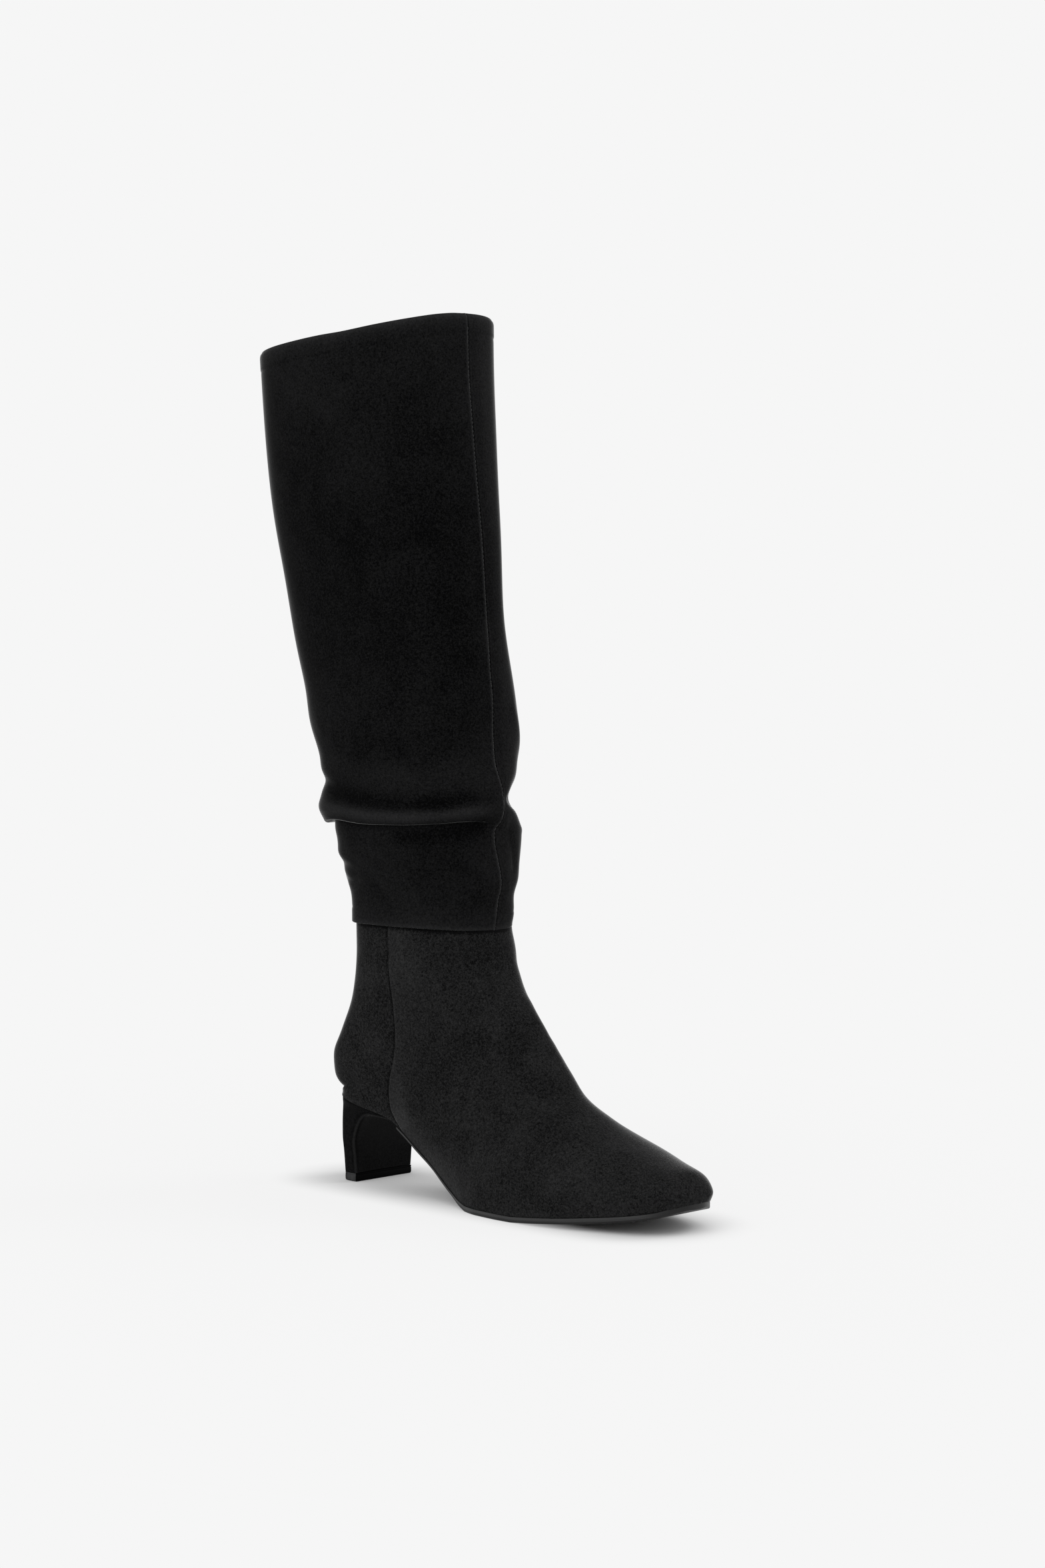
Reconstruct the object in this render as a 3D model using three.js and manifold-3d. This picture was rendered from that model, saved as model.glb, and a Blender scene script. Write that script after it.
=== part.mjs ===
// Slouch boot, knee high, on a slim covered heel: one right shoe.
// Millimetres. X runs to the toe, Y to the wearer's left, Z up.
// The origin is on the floor, at the middle of the heel's tread.

import * as THREE from "three";
import { mergeVertices } from "three/addons/utils/BufferGeometryUtils.js";
import Module from "manifold-3d";

const wasm = await Module();
wasm.setup();

// Foot and last
const footLength = 250.8; // back of the heel seat to the toe tip
const seatOverhang = 10.8; // the seat's back lies this far behind the origin
const seatHeight = 45.5; // top of the heel, under the upper
const ballWidth = 84;
const seatWidth = 57;
const toeWidth = 40;
const toeSpring = 13; // underside of the toe tip above the floor
const vampHeight = 111; // floor to the instep, where the vamp turns up into the leg
const flatBack = 121; // the forefoot's flat, from the seat's back
const flatFront = 159;

// Leg
const ankleDepth = 96.8; // front to back, at the hem
const ankleWidth = 63.8;
const ankleBack = 7.9; // back of the ankle, in front of the seat's back
const hemHeight = 141.5;
const tongueOfLeg = 24; // the foot part goes on this far up inside the shaft
const collarHeight = 460.3; // middle of the collar's ring
const collarDepth = 143;
const collarWidth = 109;
const collarRoll = 2.5; // the collar's medial side stands higher, in degrees

// Thicknesses
const wall = 1.8;
const lap = 0.8; // the vamp stands proud of the quarter by this
const shaftWall = 1.9;
const seamRise = 0.7;
const seamWidth = 3;
const soleThickness = 3;
const shankThickness = 1.4;
const soleReveal = 0.9; // the sole shows this far outside the upper
const soleRound = 0.9;
const insoleThickness = 2;
const gap = 0.3;

// Heel
const treadWidth = 41.4;
const treadFront = 5.6;
const treadBack = -8.7;
const topPieceHeight = 4.5;
const heelWaistWidth = 45.4;
const heelShift = 0.8; // the heel's middle lies this far to the medial side
const coveReach = 17; // from the breast to the top of the cove
const coveRise = 20;
const coveTop = 39;
const heelFrontX = 48;
const flangeBack = 4.6; // the heel's flange over the cove, at its top and at its front
const flangeFront = 1.3;

const seatBackX = -seatOverhang;
const tipX = seatBackX + footLength;
const sideways = 90; // half the breadth of a cutting prism, past every side
const below = 4; // how far a plug goes on past the face that cuts it

// Smooth curve through rows of a table: no overshoot between rows.
function through(xs, ys, x) {
  const last = xs.length - 1;
  if (x <= xs[0]) return ys[0];
  if (x >= xs[last]) return ys[last];
  let i = 0;
  while (x > xs[i + 1]) i += 1;
  const rise = (k) => (ys[k + 1] - ys[k]) / (xs[k + 1] - xs[k]);
  const slope = (k) => {
    if (k === 0) return rise(0);
    if (k === last) return rise(last - 1);
    const before = rise(k - 1);
    const after = rise(k);
    if (before * after <= 0) return 0;
    return (2 * before * after) / (before + after);
  };
  const span = xs[i + 1] - xs[i];
  const u = (x - xs[i]) / span;
  const a = ys[i];
  const b = slope(i) * span;
  const c = slope(i + 1) * span;
  const d = ys[i + 1];
  return a + u * (b + u * (3 * (d - a) - 2 * b - c + u * (2 * (a - d) + b + c)));
}

const column = (table, name) => table.map((row) => row[name]);
const read = (table, by, name, x) => through(column(table, by), column(table, name), x);
const mix = (a, b, u) => a + (b - a) * u;
const steps = (count) => Array.from({ length: count + 1 }, (_, i) => i / count);

// A side that closes as a rounded end: 1 until reach before the end, then down to 0.
function closing(distanceToEnd, reach, squareness) {
  const u = Math.min(Math.max(1 - distanceToEnd / reach, 0), 1);
  return Math.pow(Math.max(1 - Math.pow(u, squareness), 0), 1 / squareness);
}

// Side view of the sole. rise is a share of the seat's height above the sole's flat,
// and of the toe spring; at is the share of the way there.
const archRows = [
  { at: 0, rise: 1, thick: 1 },
  { at: 0.107, rise: 0.995, thick: 1 },
  { at: 0.219, rise: 0.976, thick: 1 },
  { at: 0.345, rise: 0.922, thick: 1 },
  { at: 0.443, rise: 0.845, thick: 1 },
  { at: 0.529, rise: 0.702, thick: 1 },
  { at: 0.62, rise: 0.518, thick: 1 },
  { at: 0.702, rise: 0.367, thick: 1 },
  { at: 0.785, rise: 0.219, thick: 0.95 },
  { at: 0.868, rise: 0.1, thick: 0.75 },
  { at: 0.934, rise: 0.038, thick: 0.4 },
  { at: 1, rise: 0, thick: 0 },
];
const springRows = [
  { at: 0, rise: 0 },
  { at: 0.2, rise: 0.12 },
  { at: 0.45, rise: 0.29 },
  { at: 0.66, rise: 0.46 },
  { at: 0.84, rise: 0.68 },
  { at: 0.94, rise: 0.86 },
  { at: 1, rise: 1 },
];

function soleTop(x) {
  const fromBack = x - seatBackX;
  if (fromBack <= flatBack) {
    return mix(soleThickness, seatHeight, read(archRows, "at", "rise", fromBack / flatBack));
  }
  const at = (fromBack - flatFront) / (footLength - flatFront);
  return soleThickness + toeSpring * read(springRows, "at", "rise", at);
}

function soleDepth(x) {
  const at = (x - seatBackX) / flatBack;
  return mix(soleThickness, shankThickness, read(archRows, "at", "thick", at));
}

// Plan of the feather line. A half width is a mix of the seat's and the ball's half width,
// with the toe's for the rest, times the lateral or medial share.
const planRows = [
  { at: 0, seat: 1, ball: 0, lateral: 1, medial: 1 },
  { at: 0.16, seat: 1, ball: 0, lateral: 1, medial: 0.99 },
  { at: 0.26, seat: 1, ball: 0, lateral: 0.98, medial: 0.95 },
  { at: 0.34, seat: 0.85, ball: 0.15, lateral: 0.9, medial: 0.85 },
  { at: 0.41, seat: 0.5, ball: 0.5, lateral: 0.88, medial: 0.76 },
  { at: 0.47, seat: 0.2, ball: 0.8, lateral: 0.93, medial: 0.765 },
  { at: 0.53, seat: 0, ball: 1, lateral: 0.976, medial: 0.81 },
  { at: 0.6, seat: 0, ball: 1, lateral: 1.007, medial: 0.875 },
  { at: 0.67, seat: 0, ball: 1, lateral: 1, medial: 0.915 },
  { at: 0.74, seat: 0, ball: 0.93, lateral: 0.98, medial: 0.925 },
  { at: 0.82, seat: 0, ball: 0.62, lateral: 0.99, medial: 0.98 },
  { at: 0.9, seat: 0, ball: 0.28, lateral: 0.99, medial: 0.99 },
  { at: 0.96, seat: 0, ball: 0.08, lateral: 0.94, medial: 0.89 },
  { at: 1, seat: 0, ball: 0, lateral: 0.9, medial: 0.78 },
];
const toeReach = 25;
const heelReach = 27;
const toeSquareness = 2.5; // 2 is an ellipse, more is squarer
const seatSquareness = 2.3;

function planFull(x, side) {
  const at = (x - seatBackX) / footLength;
  const seat = read(planRows, "at", "seat", at);
  const ball = read(planRows, "at", "ball", at);
  const half = (seat * seatWidth + ball * ballWidth + (1 - seat - ball) * toeWidth) / 2;
  return half * read(planRows, "at", side, at);
}
const toeRound = (x, grow = 0) => closing(tipX + grow - x, toeReach, toeSquareness);
const heelRound = (x, grow = 0) => closing(x - seatBackX + grow, heelReach, seatSquareness);
const planHalf = (x, side, grow = 0) =>
  (planFull(x, side) + grow) * toeRound(x, grow) * heelRound(x, grow);

// The toe's tip lies a little inside the foot's middle line.
const toeShift = 1;
const middleY = (x) => toeShift * through([0.55, 0.8, 1], [0, 0.6, 1], (x - seatBackX) / footLength);

// Sections of the foot in planes that lean from level, at the leg, to upright, at the ball.
// back and front are where the plane meets the middle line: x is a share of the ankle's depth
// from its back, z a share of the hem's height, half a share of the ankle's half width.
const legRows = [
  { backX: 0, backZ: 1, frontX: 1, frontZ: 1, half: 1, wide: 0.5 },
  { backX: 0.002, backZ: 0.925, frontX: 1.03, frontZ: 0.945, half: 1.01, wide: 0.5 },
  { backX: -0.008, backZ: 0.79, frontX: 1.075, frontZ: 0.865, half: 1.01, wide: 0.46 },
  { backX: -0.055, backZ: 0.67, frontX: 1.14, frontZ: 0.8, half: 0.99, wide: 0.39 },
  { backX: -0.13, backZ: 0.565, frontX: 1.205, frontZ: 0.757, half: 0.975, wide: 0.33 },
  { backX: -0.192, backZ: 0.465, frontX: 1.254, frontZ: 0.721, half: 0.965, wide: 0.3 },
  { backX: -0.168, backZ: 0.385, frontX: 1.286, frontZ: 0.698, half: 0.955, wide: 0.29 },
];
// Sections that stand on the sole. base and top are shares of the foot's length and high a
// share of the vamp's height, from the floor. The sides swell past the feather line by
// shares of the ball's half width.
const soleRows = [
  { base: 0, top: 0.542, high: 0.851, lateral: 0.05, medial: 0.05, wide: 0.29, round: 2.15 },
  { base: 0.014, top: 0.548, high: 0.834, lateral: 0.05, medial: 0.05, wide: 0.29, round: 2.15 },
  { base: 0.045, top: 0.555, high: 0.812, lateral: 0.048, medial: 0.05, wide: 0.29, round: 2.15 },
  { base: 0.1, top: 0.566, high: 0.781, lateral: 0.045, medial: 0.055, wide: 0.29, round: 2.15 },
  { base: 0.18, top: 0.581, high: 0.738, lateral: 0.05, medial: 0.07, wide: 0.28, round: 2.1 },
  { base: 0.26, top: 0.6, high: 0.688, lateral: 0.075, medial: 0.1, wide: 0.27, round: 2.05 },
  { base: 0.34, top: 0.621, high: 0.633, lateral: 0.1, medial: 0.15, wide: 0.26, round: 2 },
  { base: 0.42, top: 0.641, high: 0.568, lateral: 0.075, medial: 0.17, wide: 0.24, round: 2 },
  { base: 0.49, top: 0.669, high: 0.518, lateral: 0.035, medial: 0.12, wide: 0.22, round: 2 },
  { base: 0.56, top: 0.703, high: 0.475, lateral: 0.018, medial: 0.06, wide: 0.2, round: 2.05 },
  { base: 0.63, top: 0.741, high: 0.43, lateral: 0.015, medial: 0.03, wide: 0.2, round: 2.1 },
  { base: 0.7, top: 0.781, high: 0.391, lateral: 0.018, medial: 0.02, wide: 0.22, round: 2.15 },
  { base: 0.78, top: 0.83, high: 0.35, lateral: 0.022, medial: 0.022, wide: 0.24, round: 2.2 },
  { base: 0.86, top: 0.888, high: 0.306, lateral: 0.028, medial: 0.028, wide: 0.27, round: 2.25 },
  { base: 0.93, top: 0.944, high: 0.272, lateral: 0.03, medial: 0.03, wide: 0.3, round: 2.3 },
  { base: 1, top: 1, high: 0.235, lateral: 0.03, medial: 0.03, wide: 0.32, round: 2.3 },
];
const toeRoofReach = 17;
const toeRoofSquareness = 2.3;
const legSquareness = 2.15;
const narrowest = 0.985; // the feather line is at most this share of the widest place
const ankleX = seatBackX + ankleBack;

function legSection(at) {
  const value = (name) => through(steps(legRows.length - 1), column(legRows, name), at);
  return {
    base: [ankleX + ankleDepth * value("backX"), hemHeight * value("backZ")],
    top: [ankleX + ankleDepth * value("frontX"), hemHeight * value("frontZ")],
    half: { lateral: (value("half") * ankleWidth) / 2, medial: (value("half") * ankleWidth) / 2 },
    feather: { lateral: 0, medial: 0 },
    wide: value("wide"),
    round: legSquareness,
    middle: 0,
  };
}

function soleSection(baseShare) {
  const value = (name) => read(soleRows, "base", name, baseShare);
  const baseX = seatBackX + footLength * baseShare;
  const topX = seatBackX + footLength * value("top");
  const floor = soleTop(baseX) + gap;
  const roof = closing(tipX - topX, toeRoofReach, toeRoofSquareness);
  const half = (side) => (planFull(baseX, side) + (value(side) * ballWidth) / 2) * toeRound(baseX);
  return {
    base: [baseX, floor],
    top: [topX, mix(floor, vampHeight * value("high"), roof)],
    half: { lateral: half("lateral"), medial: half("medial") },
    feather: { lateral: planHalf(baseX, "lateral"), medial: planHalf(baseX, "medial") },
    wide: value("wide"),
    round: value("round"),
    middle: middleY(baseX),
  };
}

// One side of a section, as shares: [across, up] from the bottom to the top.
// Above its widest place it is a superellipse. Below, it is another one, whose bottom lies
// deep enough for the section to be as wide as the feather line where it meets the sole.
function sideOfSection(section, side, lowCount, highCount) {
  const { wide, round } = section;
  const narrow = Math.min(section.feather[side] / section.half[side], narrowest);
  const low = legSquareness;
  const depth = wide / Math.pow(1 - Math.pow(narrow, low), 1 / low);
  const length = Math.hypot(section.top[0] - section.base[0], section.top[1] - section.base[1]);
  const bottom = Math.max(wide - depth, -below / length);
  const start = Math.asin(Math.pow(Math.min((wide - bottom) / depth, 1), low / 2));
  const points = [];
  for (const u of steps(lowCount)) {
    const angle = mix(start, 0, u);
    const across = Math.pow(Math.max(Math.cos(angle), 0), 2 / low);
    points.push([across, wide - depth * Math.pow(Math.sin(angle), 2 / low)]);
  }
  for (const u of steps(highCount).slice(1)) {
    const angle = (u * Math.PI) / 2;
    const across = u === 1 ? 0 : Math.pow(Math.cos(angle), 2 / round);
    points.push([across, wide + (1 - wide) * Math.pow(Math.sin(angle), 2 / round)]);
  }
  return points;
}

const lowCount = 5;
const highCount = 8;

// Closed ring of a section: up the lateral side, over the top and down the medial side.
function sectionRing(section) {
  const place = (side, sign) =>
    sideOfSection(section, side, lowCount, highCount).map(([across, up]) =>
      new THREE.Vector3(
        mix(section.base[0], section.top[0], up),
        section.middle + sign * section.half[side] * across,
        mix(section.base[1], section.top[1], up),
      ));
  const lateral = place("lateral", -1);
  const medial = place("medial", 1).slice(0, -1).reverse();
  return [...lateral, ...medial];
}

// The straight end of the leg, inside the shaft, is the hem's section again, higher up.
function straightSection(z) {
  const section = legSection(0);
  section.base[1] = z;
  section.top[1] = z;
  return section;
}

const legTop = hemHeight + tongueOfLeg;
const legPlaces = [0, 0.1, 0.2, 0.3, 0.4, 0.5, 0.6, 0.7, 0.8, 0.88, 0.95];
const solePlaces = [
  0, 0.006, 0.018, 0.04, 0.075, 0.12, 0.17, 0.22, 0.27, 0.32, 0.37, 0.42, 0.47, 0.515, 0.56, 0.61,
  0.66, 0.71, 0.76, 0.81, 0.86, 0.9, 0.93, 0.955, 0.974, 0.988, 0.996, 0.9995,
];
// From the toe, back along the sole and up the leg.
const footRings = [
  sectionRing(straightSection(legTop + below)),
  ...legPlaces.map((at) => sectionRing(legSection(at))),
  ...solePlaces.map((at) => sectionRing(soleSection(at))),
].reverse();

// Outward directions on a grid of rings, from the neighbours along and across the rings.
function outward(rings) {
  return rings.map((ring, i) => {
    const before = rings[i - 1] ?? ring;
    const after = rings[i + 1] ?? ring;
    return ring.map((point, j) => {
      const last = ring.length - 1;
      const shut = ring[0].distanceTo(ring[last]) < 0.01;
      const next = j < last ? ring[j + 1] : shut ? ring[1] : point;
      const previous = j > 0 ? ring[j - 1] : shut ? ring[last - 1] : point;
      const along = next.clone().sub(previous);
      const across = after[j].clone().sub(before[j]);
      return along.cross(across).normalize();
    });
  });
}

function offset(rings, directions, distance) {
  return rings.map((ring, i) =>
    ring.map((point, j) => point.clone().addScaledVector(directions[i][j], distance)));
}

// Closed mesh from triangles of points: shared corners are merged, and flat ones dropped.
function solidFrom(triangles) {
  const positions = new Float32Array(triangles.flat().flatMap((p) => [p.x, p.y, p.z]));
  const loose = new THREE.BufferGeometry();
  loose.setAttribute("position", new THREE.BufferAttribute(positions, 3));
  return solidOf(loose);
}

function solidOf(geometry) {
  const bare = geometry.index ? geometry.toNonIndexed() : geometry.clone();
  bare.deleteAttribute("normal");
  bare.deleteAttribute("uv");
  const merged = mergeVertices(bare, 1e-3);
  const index = merged.index.array;
  const kept = [];
  for (let i = 0; i < index.length; i += 3) {
    const [a, b, c] = [index[i], index[i + 1], index[i + 2]];
    if (a !== b && b !== c && c !== a) kept.push(a, b, c);
  }
  return new wasm.Manifold(
    new wasm.Mesh({
      numProp: 3,
      vertProperties: new Float32Array(merged.attributes.position.array),
      triVerts: new Uint32Array(kept),
    }),
  );
}

function geometryOf(solid) {
  const mesh = solid.getMesh();
  const geometry = new THREE.BufferGeometry();
  geometry.setAttribute("position", new THREE.BufferAttribute(mesh.vertProperties, 3));
  geometry.setIndex(new THREE.BufferAttribute(mesh.triVerts, 1));
  geometry.computeVertexNormals();
  return geometry;
}

const quad = (a, b, c, d) => [[a, b, c], [a, c, d]];

function centreOf(ring) {
  const sum = new THREE.Vector3();
  for (const point of ring) sum.add(point);
  return sum.divideScalar(ring.length);
}

// Solid plug through closed rings, with a cap at each end.
function plug(rings) {
  const triangles = [];
  const count = rings[0].length;
  for (let i = 0; i + 1 < rings.length; i += 1) {
    for (let j = 0; j < count; j += 1) {
      const k = (j + 1) % count;
      triangles.push(...quad(rings[i][j], rings[i][k], rings[i + 1][k], rings[i + 1][j]));
    }
  }
  const first = centreOf(rings[0]);
  const end = rings[rings.length - 1];
  const last = centreOf(end);
  for (let j = 0; j < count; j += 1) {
    const k = (j + 1) % count;
    triangles.push([first, rings[0][k], rings[0][j]]);
    triangles.push([last, end[j], end[k]]);
  }
  return solidFrom(triangles);
}

// Prism with a side-view outline, [x, z] points, straight through from side to side.
function prism(outline) {
  const shape = new THREE.Shape(outline.map(([x, z]) => new THREE.Vector2(x, z)));
  const geometry = new THREE.ExtrudeGeometry(shape, { depth: 2 * sideways, bevelEnabled: false });
  geometry.rotateX(Math.PI / 2);
  geometry.translate(0, sideways, 0);
  return solidOf(geometry);
}

// Stations along the sole: everything that lies on it bends at the same places.
const soleStations = [...new Set([...solePlaces, flatBack / footLength, flatFront / footLength])]
  .sort((a, b) => a - b)
  .map((at) => seatBackX + footLength * at);
const topLine = (rise) => soleStations.map((x) => [x, soleTop(x) + rise]);
const longTopLine = (rise) => {
  const line = topLine(rise);
  const back = [line[0][0] - seatWidth, line[0][1]];
  const front = [line[line.length - 1][0] + toeReach, line[line.length - 1][1]];
  return [back, ...line, front];
};

const overSole = prism([
  ...longTopLine(gap),
  [tipX + toeReach, legTop],
  [seatBackX - seatWidth, legTop],
]);

// Side seam, where the vamp laps the quarter: shares of the hem's height and foot's length.
const sideSeamRows = [
  { high: 0, x: 0.285 },
  { high: 0.24, x: 0.25 },
  { high: 0.285, x: 0.232 },
  { high: 0.33, x: 0.221 },
  { high: 0.385, x: 0.218 },
  { high: 0.435, x: 0.22 },
  { high: 0.485, x: 0.227 },
  { high: 0.61, x: 0.236 },
  { high: 0.74, x: 0.234 },
  { high: 0.86, x: 0.226 },
  { high: 1, x: 0.222 },
  { high: 1.2, x: 0.222 },
];
const seamPoint = (row) => [seatBackX + footLength * row.x, hemHeight * row.high];
const vampSide = prism([
  ...sideSeamRows.map(seamPoint).reverse(),
  [tipX + toeReach, 0],
  [tipX + toeReach, seamPoint(sideSeamRows[sideSeamRows.length - 1])[1]],
]);

// Foot part of the upper: one wall, open at the leg and under the foot.
const footOut = outward(footRings);
const vampPlug = plug(footRings);
const quarterPlug = plug(offset(footRings, footOut, -lap));
const liningPlug = plug(offset(footRings, footOut, -lap - wall));
const footUpper = vampPlug
  .intersect(vampSide)
  .add(quarterPlug)
  .subtract(liningPlug)
  .intersect(overSole);

// Insole: lies on the sole, inside the wall all round.
const insoleBand = prism([...longTopLine(gap), ...longTopLine(gap + insoleThickness).reverse()]);
const insole = plug(offset(footRings, footOut, -lap - wall - gap)).intersect(insoleBand);

// Outsole: from the front of the heel to the toe tip.
const edgeShare = 0.55; // the sole's side stands upright for this share of its depth
const edgeSlope = 0.3;
const soleFrontX = tipX + soleReveal;
const soleBackX = heelFrontX + gap;
const soleLine = [
  soleBackX,
  ...soleStations.filter((x) => x > soleBackX + 2),
  ...[0.35, 0.75, 0.97].map((u) => mix(tipX, soleFrontX, u)),
];
const stationTop = (x) => {
  const xs = soleStations;
  const i = Math.min(Math.max(xs.findIndex((s) => s >= x), 1), xs.length - 1);
  return mix(soleTop(xs[i - 1]), soleTop(xs[i]), (x - xs[i - 1]) / (xs[i] - xs[i - 1]));
};
function soleRing(x) {
  const top = stationTop(Math.min(x, soleStations[soleStations.length - 1]));
  const bottom = top - soleDepth(x);
  const y = middleY(x);
  const left = y - planHalf(x, "lateral", soleReveal);
  const right = y + planHalf(x, "medial", soleReveal);
  const round = Math.min(soleRound, (right - left) / 4);
  const edge = top - soleDepth(x) * edgeShare;
  return [
    new THREE.Vector3(x, left, top),
    new THREE.Vector3(x, right, top),
    new THREE.Vector3(x, right, edge),
    new THREE.Vector3(x, right - round * edgeSlope, mix(bottom, edge, edgeSlope)),
    new THREE.Vector3(x, right - round, bottom),
    new THREE.Vector3(x, left + round, bottom),
    new THREE.Vector3(x, left + round * edgeSlope, mix(bottom, edge, edgeSlope)),
    new THREE.Vector3(x, left, edge),
  ];
}
const outsole = plug(soleLine.map(soleRing).reverse());

// Plan of the heel at a height: half outlines from the back to the front, then mixed.
const heelCurve = 12;
const cornerX = 3; // where the blade's rounded back meets its straight sides
const bladeSquareness = 3.6;
function bladeHalf(u, half, back) {
  if (u > 0.5) return [mix(cornerX, heelFrontX + heelReach, u * 2 - 1), half];
  const angle = u * Math.PI;
  const squareness = 2 / bladeSquareness;
  return [
    cornerX - (cornerX - back) * Math.pow(Math.cos(angle), squareness),
    half * Math.pow(Math.sin(angle), squareness),
  ];
}
function seatHalf(u, side) {
  const turn = seatBackX + heelReach;
  if (u > 0.5) {
    const x = mix(turn, heelFrontX + heelReach, u * 2 - 1);
    return [x, planHalf(x, side)];
  }
  const x = turn - heelReach * Math.cos(u * Math.PI);
  return [x, planHalf(x, side)];
}
const heelRows = [
  { high: 0, flare: 0, width: 0, seat: 0 },
  { high: 0.25, flare: 0.03, width: 0.45, seat: 0 },
  { high: 0.5, flare: 0.12, width: 1, seat: 0 },
  { high: 0.66, flare: 0.3, width: 1, seat: 0.06 },
  { high: 0.8, flare: 0.55, width: 1, seat: 0.24 },
  { high: 0.9, flare: 0.8, width: 1, seat: 0.55 },
  { high: 1, flare: 1, width: 1, seat: 1 },
  { high: 1.1, flare: 1, width: 1, seat: 1 },
];
const heelBottom = topPieceHeight + gap;

function heelRing(high) {
  const value = (name) => read(heelRows, "high", name, high);
  const half = mix(treadWidth, heelWaistWidth, value("width")) / 2;
  const back = mix(treadBack, seatBackX, value("flare"));
  const z = mix(heelBottom, seatHeight, high);
  const edge = (side, sign) =>
    steps(heelCurve).map((u) => {
      const blade = bladeHalf(u, half, back);
      const seat = seatHalf(u, side);
      const share = value("seat");
      const y = mix(heelShift + sign * blade[1], sign * seat[1], share);
      return new THREE.Vector3(mix(blade[0], seat[0], share), y, z);
    });
  return [...edge("lateral", -1), ...edge("medial", 1).slice(1).reverse()];
}
const heelPlaces = [-0.1, 0, 0.15, 0.3, 0.5, 0.66, 0.74, 0.8, 0.85, 0.9, 0.95, 1, 1.1];
const heelBlock = plug(heelPlaces.map(heelRing));

// Side view of the heel: breast, cove and a thin flange under the seat.
const coveX = treadFront + coveReach;
const cove = steps(8).map((u) => {
  const angle = Math.PI - (u * Math.PI) / 2;
  return [coveX + coveReach * Math.cos(angle), coveTop - coveRise + coveRise * Math.sin(angle)];
});
const flange = steps(4)
  .slice(1)
  .map((u) => {
    const x = mix(coveX, heelFrontX, u);
    return [x, soleTop(x) - mix(flangeBack, flangeFront, u)];
  });
const heelTopLine = [
  ...longTopLine(0).filter(([x]) => x < heelFrontX),
  [heelFrontX, stationTop(heelFrontX)],
];
const heel = heelBlock.intersect(
  prism([
    [seatBackX - seatWidth, heelBottom],
    [treadFront, heelBottom],
    ...cove,
    ...flange,
    ...heelTopLine.reverse(),
  ]),
);

// Top piece: the heel's tread, a little smaller where it meets the floor.
function treadRing(z, inset) {
  const half = treadWidth / 2 - inset;
  const front = treadFront - inset;
  const edge = (sign) =>
    steps(heelCurve / 2).map((u) => {
      const [x, y] = bladeHalf(u / 2, half, treadBack + inset);
      return new THREE.Vector3(Math.min(x, front), heelShift + sign * y, z);
    });
  const corners = [-half, half].map((y) => new THREE.Vector3(front, heelShift + y, z));
  return [...edge(-1), ...corners, ...edge(1).slice(1).reverse()];
}
const treadRows = [
  { z: 0, inset: 0.7 },
  { z: 0.9, inset: 0.1 },
  { z: topPieceHeight, inset: 0 },
];
const topPiece = plug(treadRows.map((row) => treadRing(row.z, row.inset)));

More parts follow.
